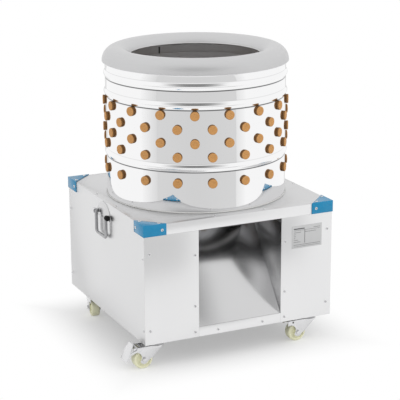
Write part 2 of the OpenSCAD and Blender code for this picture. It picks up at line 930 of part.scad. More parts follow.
module pedal() {
    slope = atan2(pedal_top.y - pedal_foot.y, pedal_foot.x - pedal_top.x);
    across = pedal_t / sin(slope);
    shoulder_z = (pedal_top.y + pedal_foot.y) / 2;
    shoulder_t = pedal_top.x + (pedal_top.y - shoulder_z) / tan(slope);
    intersection() {
        xz_prism(pedal_w / 2, pedal_w)
            polygon([pedal_top, pedal_foot, pedal_foot + [across, 0], pedal_top + [across, 0]]);
        yz_prism(0, 2 * pedal_foot.x) polygon([
            [-pedal_top_w / 2, pedal_top.y], [pedal_top_w / 2, pedal_top.y], [pedal_w / 2, shoulder_z],
            [pedal_w / 2, 0], [-pedal_w / 2, 0], [-pedal_w / 2, shoulder_z]
        ]);
    }
    both_ends() xz_prism(arm_in + arm_t, arm_t) {
        translate([pin_t, pin_z]) circle(pin_r + arm_eye);
        polygon([[pin_t, pin_z + pin_r], [shoulder_t + across / 2, shoulder_z],
                 [shoulder_t, shoulder_z] + arm_foot, [pin_t, pin_z - pin_r]]);
    }
    xz_prism(arm_in + arm_t, 2 * (arm_in + arm_t)) translate([pin_t, pin_z]) circle(pin_r);
}

module fork_front_left() color("silver") at_castor(0) fork();
module fork_front_right() color("silver") at_castor(1) fork();
module fork_back_left() color("silver") at_castor(2) fork();
module fork_back_right() color("silver") at_castor(3) fork();

module axle_front_left() color("gray") at_castor(0) axle();
module axle_front_right() color("gray") at_castor(1) axle();
module axle_back_left() color("gray") at_castor(2) axle();
module axle_back_right() color("gray") at_castor(3) axle();

module wheel_front_left() color("beige") at_castor(0) wheel();
module wheel_front_right() color("beige") at_castor(1) wheel();
module wheel_back_left() color("beige") at_castor(2) wheel();
module wheel_back_right() color("beige") at_castor(3) wheel();

module pedal_front_left() color("silver") at_castor(0) pedal();
module pedal_back_right() color("silver") at_castor(3) pedal();

// Switch box on the right side

module switch_box() color("darkgray") {
    front = half + switch_d;
    difference() {
        block([half, -switch_y - switch_w / 2, switch_top - switch_h],
              [front, -switch_y + switch_w / 2, switch_top]);
        block([half - cut, -switch_y - switch_w / 2 + switch_t, switch_top - switch_h + switch_t],
              [front - switch_t, -switch_y + switch_w / 2 - switch_t, switch_top - switch_t]);
        for (s = [-1, 1]) translate([front - 2 * switch_t, -switch_y, switch_c + s * button_z])
            rotate([0, 90, 0]) cylinder(r = button_r + slide_gap, h = 3 * switch_t);
        translate([half + switch_d / 2, -switch_y, switch_top - switch_h - cut])
            cylinder(r = gland_bore_r, h = switch_t + 2 * cut);
    }
}

module button() {
    translate([half + switch_d - switch_t, -switch_y, switch_c]) rotate([0, 90, 0]) {
        cylinder(r = button_r, h = switch_t + button_proud);
        translate([0, 0, -slide_gap - button_lip_t]) cylinder(r = button_r + button_lip, h = button_lip_t);
        translate([0, 0, -slide_gap]) cylinder(r = button_r, h = slide_gap);
    }
}

module start_button() color("seagreen") translate([0, 0, button_z]) button();

module stop_button() color("firebrick") translate([0, 0, -button_z]) button();

module cable_gland() color("black") {
    translate([half + switch_d / 2, -switch_y, switch_top - switch_h]) mirror([0, 0, 1]) difference() {
        union() {
            cylinder(r = gland_bore_r + gland_wall, h = gland_l);
            cylinder(r = gland_bore_r + gland_wall + gland_nut, h = gland_nut_h, $fn = 6);
        }
        translate([0, 0, -cut]) cylinder(r = gland_bore_r, h = gland_l + 2 * cut);
    }
}

frame_posts();
frame_rails();
drive_beams();
castor_gussets();
table_top();
front_panel_left();
front_panel_right();
front_beam();
side_panel_left();
side_panel_right();
back_panel();
corner_guards();
panel_screws();
rating_plate();
chute_floor();
chute_cheeks();
drum_pan();
drum_shell();
feed_ring();
wall_fingers();
upper_bearing();
lower_bearing();
motor_plate();
motor_body();
fan_cover();
terminal_box();
drive_belt();
handle_plates();
handle_bosses();
castor_plates();
castor_raceways();
switch_box();
cable_gland();
feather_plate();
plate_fingers();
plate_hub();
plate_nut();
main_shaft();
driven_pulley();
sweeper_blades();
motor_shaft();
motor_pulley();
bail_left();
bail_right();
start_button();
stop_button();
fork_front_left();
fork_front_right();
fork_back_left();
fork_back_right();
axle_front_left();
axle_front_right();
axle_back_left();
axle_back_right();
wheel_front_left();
wheel_front_right();
wheel_back_left();
wheel_back_right();
pedal_front_left();
pedal_back_right();
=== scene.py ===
"""Dresses the drum poultry plucker: polished drum, rubber fingers, sheet cabinet and castors.

Every length is in metres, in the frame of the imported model: the floor is z = 0, the outlet faces -Y.
"""

import json
import logging
import math
from dataclasses import dataclass, field
from enum import Enum
from functools import cached_property
from typing import Callable, Iterable, Sequence

import bmesh
import bpy
from mathutils import Matrix, Vector


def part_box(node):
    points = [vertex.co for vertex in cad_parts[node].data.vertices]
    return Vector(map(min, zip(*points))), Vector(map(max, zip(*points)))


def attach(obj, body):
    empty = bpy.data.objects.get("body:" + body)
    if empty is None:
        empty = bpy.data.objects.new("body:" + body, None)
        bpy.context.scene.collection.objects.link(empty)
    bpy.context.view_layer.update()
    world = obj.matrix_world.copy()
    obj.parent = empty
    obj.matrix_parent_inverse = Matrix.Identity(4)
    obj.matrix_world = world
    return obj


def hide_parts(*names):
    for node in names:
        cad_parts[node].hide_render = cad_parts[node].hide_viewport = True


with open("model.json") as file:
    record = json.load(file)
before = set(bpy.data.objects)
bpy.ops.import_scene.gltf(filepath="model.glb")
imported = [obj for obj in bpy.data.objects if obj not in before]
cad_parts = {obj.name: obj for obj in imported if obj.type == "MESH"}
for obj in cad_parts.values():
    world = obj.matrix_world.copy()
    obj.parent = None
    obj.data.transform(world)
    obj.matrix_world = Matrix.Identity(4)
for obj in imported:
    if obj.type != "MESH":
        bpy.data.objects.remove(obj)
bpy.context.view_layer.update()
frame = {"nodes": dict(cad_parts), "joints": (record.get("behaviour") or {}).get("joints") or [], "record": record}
LOG = logging.getLogger("plucker")

# What the frame says about the nodes, the bodies and the joints
BODY_OF = {node: body for body, nodes in frame["record"]["behaviour"]["bodies"].items()
           for node in nodes}
JOINT = {joint["name"]: joint for joint in frame["joints"]}

# Sizes that both the shapes and the finishes use
TABLE_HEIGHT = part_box("table_top")[1].z
DRUM_RADIUS = 0.275
BEAD_HEIGHTS = (0.134, 0.3175, 0.373)  # above the table

# How meshes are cleaned, rounded and shaded
CAD_MERGE = 1e-5
SEAM_MERGE = 1e-6
ROUNDING_FACES = 2
FLAT_EDGE = math.radians(0.5)
SHARP_EDGE = math.radians(35.0)
CREASE = math.radians(40.0)

Colour = tuple[float, float, float]
Point = tuple[float, float]
WHITE: Colour = (1.0, 1.0, 1.0)


class Axis(Enum):
    """The direction that a grain or a polish runs in."""

    X = Vector((1.0, 0.0, 0.0))
    Y = Vector((0.0, 1.0, 0.0))
    Z = Vector((0.0, 0.0, 1.0))


class Sock:
    """An output socket that can be used in Python sums."""

    def __init__(self, graph: "Graph", socket: bpy.types.NodeSocket) -> None:
        """Keeps the socket and the graph that new Math nodes go into."""
        self.graph = graph
        self.socket = socket

    def _math(self, operation: str, first: object, second: object) -> "Sock":
        """Adds one Math node.

        Args:
            operation: the Math node's operation.
            first: the upper input, a number or a Sock.
            second: the lower input, a number or a Sock.

        Returns:
            The node's result.
        """
        return self.graph.add("ShaderNodeMath", {"operation": operation}, {0: first, 1: second})

    def __add__(self, other: object) -> "Sock":
        """Sum."""
        return self._math("ADD", self, other)

    __radd__ = __add__

    def __sub__(self, other: object) -> "Sock":
        """Difference."""
        return self._math("SUBTRACT", self, other)

    def __rsub__(self, other: object) -> "Sock":
        """Difference from a number."""
        return self._math("SUBTRACT", other, self)

    def __mul__(self, other: object) -> "Sock":
        """Product."""
        return self._math("MULTIPLY", self, other)

    __rmul__ = __mul__

    def __abs__(self) -> "Sock":
        """Size without its sign."""
        return self._math("ABSOLUTE", self, 0.0)

    def clamp(self, low: float = 0.0, high: float = 1.0) -> "Sock":
        """Holds the value between two numbers."""
        return self._math("MINIMUM", self._math("MAXIMUM", self, low), high)


class Graph:
    """The nodes of one material."""

    def __init__(self, name: str) -> None:
        """Starts a material with a Principled shader and its output.

        Args:
            name: the material's name.
        """
        self.material = bpy.data.materials.new(name)
        self.material.use_nodes = True
        self.tree = self.material.node_tree
        self.shader = self.tree.nodes["Principled BSDF"]

    def show(self, shader: Sock) -> None:
        """Sends a shader to the material's output in place of the Principled one."""
        self.tree.links.new(shader.socket, self.tree.nodes["Material Output"].inputs["Surface"])

    def add(self, kind: str, settings: dict[str, object] | None = None,
            inputs: dict[int | str, object] | None = None, output: int | str = 0) -> Sock:
        """Adds a node.

        Args:
            kind: the node's type.
            settings: its properties.
            inputs: a number, colour or Sock for each named or numbered socket.
            output: the socket to return.

        Returns:
            The chosen output.
        """
        node = self.tree.nodes.new(kind)
        for key, value in (settings or {}).items():
            setattr(node, key, value)
        for key, value in (inputs or {}).items():
            self.feed(node.inputs[key], value)
        return Sock(self, node.outputs[output])

    def feed(self, socket: bpy.types.NodeSocket, value: object) -> None:
        """Links a Sock to an input, or sets its number or colour.

        Args:
            socket: the input.
            value: the Sock, the number or the colour.
        """
        if isinstance(value, Sock):
            self.tree.links.new(value.socket, socket)
        elif isinstance(value, tuple) and len(value) == 3 and len(socket.default_value) == 4:
            socket.default_value = (*value, 1.0)
        else:
            socket.default_value = value

    def surface(self, **inputs: object) -> None:
        """Sets the shader's inputs, with _ for a space in a name."""
        for key, value in inputs.items():
            self.feed(self.shader.inputs[key.replace("_", " ")], value)

    def place(self, scale: tuple[float, float, float] = (1.0, 1.0, 1.0)) -> Sock:
        """The object coordinates, stretched by a scale along each axis."""
        coordinates = self.add("ShaderNodeTexCoord", output="Object")
        return self.add("ShaderNodeMapping", None, {"Vector": coordinates, "Scale": scale})

    def height(self) -> Sock:
        """The height above the floor."""
        return self.add("ShaderNodeSeparateXYZ", None, {0: self.place()}, "Z")

    def radius(self) -> Sock:
        """The distance from the upright axis through the origin."""
        flat = self.add("ShaderNodeVectorMath", {"operation": "MULTIPLY"},
                        {0: self.place(), 1: (1.0, 1.0, 0.0)})
        return self.add("ShaderNodeVectorMath", {"operation": "LENGTH"}, {0: flat}, "Value")

    def noise(self, scale: float, detail: float,
              stretch: tuple[float, float, float] = (1.0, 1.0, 1.0)) -> Sock:
        """A grey noise.

        Args:
            scale: the noise's frequency per metre.
            detail: its octaves.
            stretch: a factor on the coordinates along each axis.

        Returns:
            A value from 0 to 1.
        """
        return self.add("ShaderNodeTexNoise", None,
                        {"Vector": self.place(stretch), "Scale": scale, "Detail": detail}, "Fac")

    def band(self, middle: float, half: float) -> Sock:
        """1 about a height above the floor, falling to 0 at a half width above and below."""
        return ((half - abs(self.height() - middle)) * (2.0 / half)).clamp()

    def mix(self, amount: object, first: object, second: object) -> Sock:
        """A colour between two colours."""
        return self.add("ShaderNodeMix", {"data_type": "RGBA"}, {0: amount, 6: first, 7: second}, 2)

    def bump(self, height: Sock, strength: float, distance: float) -> Sock:
        """A normal bent by a height."""
        return self.add("ShaderNodeBump", None,
                        {"Height": height, "Strength": strength, "Distance": distance}, "Normal")

    def seen(self) -> Sock:
        """Tells the rays that see the backdrop itself: straight, in a mirror or through glass.

        Returns:
            1 for such a ray and 0 for any other.
        """
        rays = [self.add("ShaderNodeLightPath", output=name)
                for name in ("Is Camera Ray", "Is Glossy Ray", "Is Transmission Ray")]
        return (rays[0] + rays[1] + rays[2]).clamp()


class Sky(Graph):
    """The nodes of the world."""

    def __init__(self, world: bpy.types.World) -> None:
        """Starts on the world's Background shader.

        Args:
            world: the scene's world.
        """
        world.use_nodes = True
        self.tree = world.node_tree
        self.shader = self.tree.nodes["Background"]


@dataclass(frozen=True)
class Steel:
    """Bare steel sheet, bar or wire with a fine grain."""

    name: str
    colour: Colour
    roughness: float
    grain: Axis = Axis.Z
    grain_depth: float = 0.05
    spread: float = 0.05
    wave: float = 0.0
    # Noises per metre, and how far the grain is drawn out
    streak_scale, mark_scale, wave_scale = 900.0, 9.0, 4.0
    stretch = 0.02

    def make(self) -> bpy.types.Material:
        """Builds the material.

        Returns:
            A metal whose grain varies its shine, with faint hand marks.
        """
        graph = Graph(self.name)
        along = tuple(self.stretch if part else 1.0 for part in self.grain.value)
        streaks = graph.noise(self.streak_scale, 4.0, along)
        marks = graph.noise(self.mark_scale, 5.0)
        shade = graph.mix((marks * 0.6 + streaks * 0.4).clamp(),
                          tuple(part * 0.97 for part in self.colour), self.colour)
        shade = self.tint(graph, shade)
        rough = self.roughness + (streaks + marks - 1.0) * self.spread + self.dull(graph)
        waves = graph.noise(self.wave_scale, 1.0)
        height = streaks * self.grain_depth + waves * self.wave
        graph.surface(Base_Color=shade, Metallic=1.0, Roughness=rough.clamp(0.02, 1.0),
                      Normal=graph.bump(height, 0.5, 0.001))
        return graph.material

    def tint(self, graph: Graph, shade: Sock) -> Sock:
        """Changes the colour where the finish asks for it, here nowhere."""
        return shade

    def dull(self, graph: Graph) -> Sock | float:
        """Takes off shine where the finish asks for it, here nowhere."""
        return 0.0


@dataclass(frozen=True)
class BeadedSteel(Steel):
    """Polished sheet with painted shade lines along its pressed beads.

    Each line is its height above the floor, its half width and how dark it is.
    """

    shade_lines: tuple[tuple[float, float, float], ...] = ()
    # The colour of the painted shade lines
    dark: Colour = (0.05, 0.05, 0.052)
    beads: tuple[float, ...] = ()
    bead_half: float = 0.013
    bead_dull: float = 0.05

    def tint(self, graph: Graph, shade: Sock) -> Sock:
        """Paints the shade lines.

        Args:
            graph: the material's graph.
            shade: the colour of the plain sheet.

        Returns:
            The colour with the painted shade lines in it.
        """
        for line, half, depth in self.shade_lines:
            shade = graph.mix(graph.band(line, half) * depth, shade, self.dark)
        return shade

    def dull(self, graph: Graph) -> Sock:
        """Dulls the beads, where the press has drawn the steel.

        Args:
            graph: the material's graph.

        Returns:
            What the beads add to the roughness.
        """
        worn: Sock | float = 0.0
        for bead in self.beads:
            worn = worn + graph.band(bead, self.bead_half)
        return worn * self.bead_dull


@dataclass(frozen=True)
class FoldedSteel(Steel):
    """Sheet whose folded edge has painted light, brighter than its flat top."""

    fold: float = 0.0
    lit_edge_colour: Colour = (0.8, 0.8, 0.8)
    # How sharply the colour changes at the fold
    steepness = 1500.0

    def tint(self, graph: Graph, shade: Sock) -> Sock:
        """Paints light on what lies below the fold."""
        below = ((self.fold - graph.height()) * self.steepness).clamp()
        return graph.mix(below, shade, self.lit_edge_colour)


@dataclass(frozen=True)
class Plastic:
    """Moulded plastic or paint with a fine texture."""

    name: str
    colour: Colour
    roughness: float
    texture: float = 0.15
    texture_scale: float = 1500.0
    scuffs: float = 0.12
    coat: float = 0.0
    specular: float = 0.3
    # Noise per metre
    patch_scale = 25.0

    def make(self) -> bpy.types.Material:
        """Builds the material.

        Returns:
            A plastic with a moulded skin and slightly worn patches.
        """
        graph = Graph(self.name)
        skin = graph.noise(self.texture_scale, 2.0)
        patches = graph.noise(self.patch_scale, 5.0)
        pale = tuple(part + (1.0 - part) * 0.03 for part in self.colour)
        shade = graph.mix((patches - 0.4).clamp() * 1.5, self.colour, pale)
        rough = self.roughness + (patches - 0.5) * self.scuffs
        graph.surface(Base_Color=shade, Roughness=rough.clamp(0.05, 1.0), Coat_Weight=self.coat,
                      Specular_IOR_Level=self.specular, Normal=graph.bump(skin, self.texture, 0.0004))
        return graph.material


@dataclass(frozen=True)
class Rubber:
    """Natural rubber, dull, with darker speckles, and painted shade below its outer face.

    The face is how far from the drum's axis the unshaded end starts, or 0 for no painted shade.
    """

    name: str
    colour: Colour
    dark: Colour
    roughness: float = 0.6
    face: float = 0.0
    # Noises per metre, then how dark the painted shade is and how sharply it ends
    mottle_scale, speckle_scale = 160.0, 1100.0
    grime, grime_edge = 0.42, 700.0

    def make(self) -> bpy.types.Material:
        """Builds the material.

        Returns:
            A mottled matte rubber.
        """
        graph = Graph(self.name)
        mottle = graph.noise(self.mottle_scale, 5.0)
        speckle = graph.noise(self.speckle_scale, 2.0)
        shade = graph.mix((mottle * 0.8 + speckle * 0.4 - 0.1).clamp(), self.dark, self.colour)
        # Painted shade: nearer the drum's axis than the face, the rubber is darkened, for the shade on the
        # fingers' sides and inside the drum
        if self.face:
            unshaded = ((graph.radius() - self.face) * self.grime_edge).clamp()
            shade = graph.mix(unshaded, tuple(part * self.grime for part in self.dark), shade)
        rough = self.roughness + (mottle - 0.5) * 0.3
        graph.surface(Base_Color=shade, Roughness=rough.clamp(0.2, 1.0), Specular_IOR_Level=0.2,
                      Normal=graph.bump(speckle, 0.25, 0.0006))
        return graph.material


@dataclass(frozen=True)
class Casting:
    """Painted or raw cast metal with a pebbled skin."""

    name: str
    colour: Colour
    metal: float
    roughness: float = 0.55
    # Noises per metre
    pebble_scale, stain_scale = 420.0, 18.0

    def make(self) -> bpy.types.Material:
        """Builds the material.

        Returns:
            A pebbled casting with darker hollows.
        """
        graph = Graph(self.name)
        pebbles = graph.noise(self.pebble_scale, 4.0)
        stains = graph.noise(self.stain_scale, 5.0)
        shade = graph.mix(stains, tuple(part * 0.75 for part in self.colour), self.colour)
        rough = self.roughness + (stains - 0.5) * 0.25
        graph.surface(Base_Color=shade, Metallic=self.metal, Roughness=rough.clamp(0.1, 1.0),
                      Normal=graph.bump(pebbles, 0.35, 0.001))
        return graph.material


class Finish(Enum):
    """The finishes of this machine."""

    # Painted shade: a dark line under each bead and a faint one over it, for the shade at the bead's folds
    DRUM = BeadedSteel("drum_mirror", (0.93, 0.93, 0.935), 0.035, Axis.Z, 0.01, 0.015, 0.02,
                       tuple((TABLE_HEIGHT + bead + edge, half, depth) for bead in BEAD_HEIGHTS
                             for edge, half, depth in ((-0.0122, 0.0024, 0.85), (0.0122, 0.0016, 0.15))),
                       beads=tuple(TABLE_HEIGHT + bead for bead in BEAD_HEIGHTS))
    LINING = Steel("drum_lining", (0.82, 0.82, 0.825), 0.45, Axis.Z, 0.06, 0.1)
    RING = Steel("ring_satin", (0.66, 0.66, 0.665), 0.5, Axis.Z, 0.05, 0.08)
    # Painted light: the table's folded front edge gets a lighter colour than its top
    TABLE = FoldedSteel("table_sheet", (0.66, 0.66, 0.665), 0.34, Axis.X, 0.04, 0.05, 0.03,
                        TABLE_HEIGHT - 0.0008, (0.86, 0.86, 0.865))
    # Painted light: the front sheets get a lighter colour than the side and back sheets of the same steel, for how
    # the light falls on them
    FRONT = Steel("front_sheet_lit", (0.84, 0.84, 0.845), 0.3, Axis.Z, 0.04, 0.05, 0.03)
    SIDE = Steel("side_sheet_shaded", (0.76, 0.76, 0.765), 0.36, Axis.Z, 0.04, 0.05, 0.03)
    CHUTE = Steel("chute_sheet", (0.65, 0.65, 0.655), 0.18, Axis.Y, 0.02, 0.03, 0.02)
    CHEEK = Steel("cheek_sheet", (0.8, 0.8, 0.805), 0.24, Axis.Y, 0.01, 0.03, 0.01)
    # Painted shade: the pan is nearly black, for the shade inside the cabinet under the drum
    SHADED_PAN = Steel("pan_painted_shade", (0.07, 0.07, 0.072), 0.5, Axis.X, 0.06, 0.1)
    PLATE = Steel("plate_steel", (0.5, 0.5, 0.51), 0.32, Axis.X, 0.08, 0.1)
    ZINC = Steel("bright_zinc", (0.76, 0.76, 0.77), 0.24, Axis.Z, 0.05, 0.12)
    # Painted reflection: the bail's colour is darkened well below chrome's, for the dark reflections along its
    # edges
    BAIL = Steel("bail_steel_painted_dark", (0.4, 0.4, 0.41), 0.1, Axis.Y, 0.02, 0.06)
    DOME = Steel("dome_plate", (0.66, 0.66, 0.665), 0.24, Axis.Z, 0.05, 0.1)
    WELD = Steel("weld_seam", (0.09, 0.09, 0.092), 0.5, Axis.Z, 0.08, 0.1)
    SHAFT = Steel("ground_shaft", (0.55, 0.55, 0.56), 0.25, Axis.Z, 0.05, 0.1)
    GUARD = Plastic("guard_blue", (0.003, 0.228, 0.438), 0.2, 0.1, 1800.0, 0.12, 0.0, 0.4)
    BLACK = Plastic("black_nylon", (0.006, 0.006, 0.0065), 0.5, specular=0.08)
    WHEEL = Plastic("wheel_cream", (0.86, 0.85, 0.61), 0.42, 0.2, 900.0)
    SWITCH = Plastic("switch_grey", (0.42, 0.43, 0.44), 0.5, 0.35, 1200.0)
    GREEN = Plastic("start_green", (0.02, 0.3, 0.07), 0.3, 0.05, 1800.0, 0.1, 0.4)
    RED = Plastic("stop_red", (0.5, 0.02, 0.02), 0.3, 0.05, 1800.0, 0.1, 0.4)
    LABEL = Plastic("label_film", (0.545, 0.547, 0.55), 0.35, 0.05, 1500.0)
    INK = Plastic("label_rule", (0.09, 0.09, 0.095), 0.5)
    PAINT = Plastic("frame_paint", (0.2, 0.205, 0.21), 0.45, 0.2, 700.0)
    FINGER = Rubber("finger_rubber", (0.62, 0.33, 0.115), (0.5, 0.24, 0.08), 0.6,
                    DRUM_RADIUS + 0.0058)
    SEAL = Rubber("joint_sealant", (0.68, 0.68, 0.67), (0.6, 0.6, 0.59), 0.5)
    BELT = Rubber("belt_rubber", (0.03, 0.03, 0.03), (0.012, 0.012, 0.012), 0.7)
    IRON = Casting("bearing_iron", (0.16, 0.165, 0.17), 0.7)
    MOTOR = Casting("motor_enamel", (0.1, 0.17, 0.23), 0.0, 0.4)

    @cached_property
    def material(self) -> bpy.types.Material:
        """The finish's material, built when it is first asked for."""
        return self.value.make()


def arc(centre: Point, radius: float, start: float, end: float, steps: int) -> list[Point]:
    """Points along a round stretch of an outline.

    Args:
        centre: the arc's centre.
        radius: its radius.
        start: the first angle, in degrees.
        end: the last angle, in degrees.
        steps: how many straight pieces it has.

    Returns:
        The points from start to end.
    """
    angles = [math.radians(start + (end - start) * i / steps) for i in range(steps + 1)]
    return [(centre[0] + radius * math.cos(a), centre[1] + radius * math.sin(a)) for a in angles]


def turned(axis: Sequence[float], place: Sequence[float]) -> Matrix:
    """A matrix that sends Z to an axis and the origin to a place."""
    return Matrix.Translation(place) @ Vector(axis).to_track_quat("Z", "Y").to_matrix().to_4x4()


def verts_in(geom: Iterable[object]) -> list[bmesh.types.BMVert]:
    """The vertices among what a bmesh operator made."""
    return [part for part in geom if isinstance(part, bmesh.types.BMVert)]


class Shape:
    """A bmesh on its way to becoming one piece."""

    def __init__(self) -> None:
        """Starts empty."""
        self.bm = bmesh.new()

    def soften(self, edges: Iterable[bmesh.types.BMEdge], width: float) -> None:
        """Rounds some edges."""
        bmesh.ops.bevel(self.bm, geom=list(edges), offset=width, offset_type="OFFSET",
                        segments=ROUNDING_FACES, profile=0.5, affect="EDGES", clamp_overlap=True,
                        material=-1)

    def block(self, low: Sequence[float], high: Sequence[float], edge: float = 0.0) -> None:
        """Adds a box.

        Args:
            low: its lowest corner.
            high: its highest corner.
            edge: the radius of its edges.
        """
        verts = bmesh.ops.create_cube(self.bm, size=1.0)["verts"]
        size = [b - a for a, b in zip(low, high)]
        bmesh.ops.scale(self.bm, vec=size, verts=verts)
        bmesh.ops.translate(self.bm, vec=[(a + b) / 2 for a, b in zip(low, high)], verts=verts)
        if edge:
            self.soften({e for v in verts for e in v.link_edges}, edge)

    def lathe(self, profile: Sequence[Point], steps: int, place: Matrix = Matrix.Identity(4),
              closed: bool = False) -> None:
        """Turns a profile round the Z axis.

        Args:
            profile: radius and height of each point.
            steps: how many faces go round.
            place: where the turned shape goes.
            closed: whether the last point joins the first, as on a ring.
        """
        verts = [self.bm.verts.new((r, 0.0, z)) for r, z in profile]
        pairs = list(zip(verts, verts[1:])) + ([(verts[-1], verts[0])] if closed else [])
        edges = [self.bm.edges.new(pair) for pair in pairs]
        before = set(self.bm.verts) - set(verts)
        bmesh.ops.spin(self.bm, geom=verts + edges, cent=(0, 0, 0), axis=(0, 0, 1), dvec=(0, 0, 0),
                       angle=math.tau, steps=steps, use_merge=True, use_duplicate=False)
        made = [v for v in self.bm.verts if v not in before]
        bmesh.ops.transform(self.bm, matrix=place, space=Matrix.Identity(4), verts=made)

    def stamp(self, pattern: "Shape", places: Iterable[Matrix]) -> None:
        """Adds copies of another shape.

        Args:
            pattern: the shape to copy.
            places: where each copy goes.
        """
        mesh = bpy.data.meshes.new("pattern")
        pattern.close()
        pattern.bm.to_mesh(mesh)
        for place in places:
            count = len(self.bm.verts)
            self.bm.from_mesh(mesh)
            self.bm.verts.ensure_lookup_table()
            bmesh.ops.transform(self.bm, matrix=place, space=Matrix.Identity(4),
                                verts=self.bm.verts[count:])
        bpy.data.meshes.remove(mesh)

    def copy_node(self, node: str, width: float) -> None:
        """Takes a copy of a CAD node and rounds its sharp edges.

        Args:
            node: the node's name.
            width: the radius of the rounding.
        """
        self.bm.from_mesh(frame["nodes"][node].data)
        bmesh.ops.remove_doubles(self.bm, verts=self.bm.verts, dist=CAD_MERGE)
        bmesh.ops.dissolve_limit(self.bm, angle_limit=FLAT_EDGE, verts=self.bm.verts,
                                 edges=self.bm.edges)
        sharp = [e for e in self.bm.edges if len(e.link_faces) == 2
                 and e.calc_face_angle(0.0) > SHARP_EDGE]
        self.soften(sharp, width)

    def keep(self, wanted: Callable[[Vector], bool]) -> None:
        """Deletes every point that a test on its place turns down."""
        bmesh.ops.delete(self.bm, geom=[v for v in self.bm.verts if not wanted(v.co)], context="VERTS")

    def close(self) -> None:
        """Merges the seams and turns the faces outwards."""
        bmesh.ops.remove_doubles(self.bm, verts=self.bm.verts, dist=SEAM_MERGE)
        bmesh.ops.recalc_face_normals(self.bm, faces=self.bm.faces)

    def piece(self, name: str, finish: Finish, body: str, nodes: Sequence[str] = ()) -> None:
        """Makes the shape an object that rides on a body.

        Args:
            name: the object's name.
            finish: its finish.
            body: the CAD body it moves with.
            nodes: the CAD nodes that it stands for.
        """
        self.close()
        mesh = bpy.data.meshes.new(name)
        self.bm.to_mesh(mesh)
        self.bm.free()
        mesh.shade_smooth()
        mesh.set_sharp_from_angle(angle=CREASE)
        thing = bpy.data.objects.new(name, mesh)
        bpy.context.scene.collection.objects.link(thing)
        mesh.materials.append(finish.material)
        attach(thing, body)
        if nodes:
            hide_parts(*nodes)
        LOG.info("%s: %d faces on %s", name, len(mesh.polygons), body)


def dress(finish: Finish, *nodes: str) -> None:
    """Gives CAD nodes a finish and leaves their shape alone.

    Args:
        finish: the finish.
        nodes: the names of the nodes.
    """
    for node in nodes:
        materials = frame["nodes"][node].data.materials
        materials.clear()
        materials.append(finish.material)
        LOG.info("%s: %s", node, finish.name)


def rounded(finish: Finish, width: float, *nodes: str) -> None:
    """Replaces CAD nodes by copies with rounded edges.

    Args:
        finish: the finish of the copies.
        width: the radius of their edges.
        nodes: the names of the nodes.
    """
    for node in nodes:
        shape = Shape()
        shape.copy_node(node, width)
        shape.piece(f"{node}_sheet", finish, BODY_OF[node], [node])


@dataclass
class Finger:
    """One rubber plucking finger: z = 0 is the outer face of its seat and +Z is its reach."""

    neck: float = 0.010
    head: float = 0.014
    head_height: float = 0.008
    head_edge: float = 0.0024
    nick: float = 0.0004
    collar: float = 0.013
    collar_height: float = 0.0035
    root_height: float = 0.0055
    tip: float = 0.0065
    reach: float = 0.080
    ribs: int = 6
    rib_height: float = 0.0012
    steps: int = 20
    # Radius and depth of each point of the dish in the head's face
    dish = ((0.0, 0.0009), (0.006, 0.0008), (0.0082, 0.0002), (0.0096, 0.0))
    # One groove and one rib: shares of the rib's height and of its pitch
    wave = ((0.0, 0.15), (0.0, 0.4), (1.0, 0.55), (1.0, 0.9))

    def profile(self, seat: float, head_gap: float, collar_gap: float) -> list[Point]:
        """Works out the turned outline.

        Args:
            seat: the thickness of the sheet that it sits in.
            head_gap: the room between the head and the sheet.
            collar_gap: the room between the sheet and the collar.

        Returns:
            Radius and height of each point, from the head's face to the tip.
        """
        face = -head_gap - self.head_height
        edge = self.head_edge
        base = seat + collar_gap
        root = base + self.root_height
        end = self.reach - self.tip
        points = [(radius, face + depth) for radius, depth in self.dish]
        points += arc((self.head - edge, face + edge), edge, -90.0, 0.0, 4)
        points += [(self.head, -head_gap - self.nick), (self.head - self.nick, -head_gap),
                   (self.neck, -head_gap), (self.neck, base), (self.collar, base),
                   (self.collar, base + self.collar_height), (self.neck + self.rib_height, root)]
        step = (end - root) / self.ribs
        for i in range(self.ribs):
            groove = self.neck + (self.tip - self.neck) * i / self.ribs
            low = root + step * i
            points += [(groove + self.rib_height * rise, low + step * share)
                       for rise, share in self.wave]
        return points + arc((0.0, end), self.tip, 0.0, 90.0, 5)[:-1] + [(0.0, self.reach)]

    def shape(self, seat: float, head_gap: float, collar_gap: float) -> Shape:
        """Turns one finger.

        Args:
            seat: the thickness of the sheet that it sits in.
            head_gap: the room between the head and the sheet.
            collar_gap: the room between the sheet and the collar.

        Returns:
            A shape that can be stamped.
        """
        shape = Shape()
        shape.lathe(self.profile(seat, head_gap, collar_gap), self.steps)
        return shape


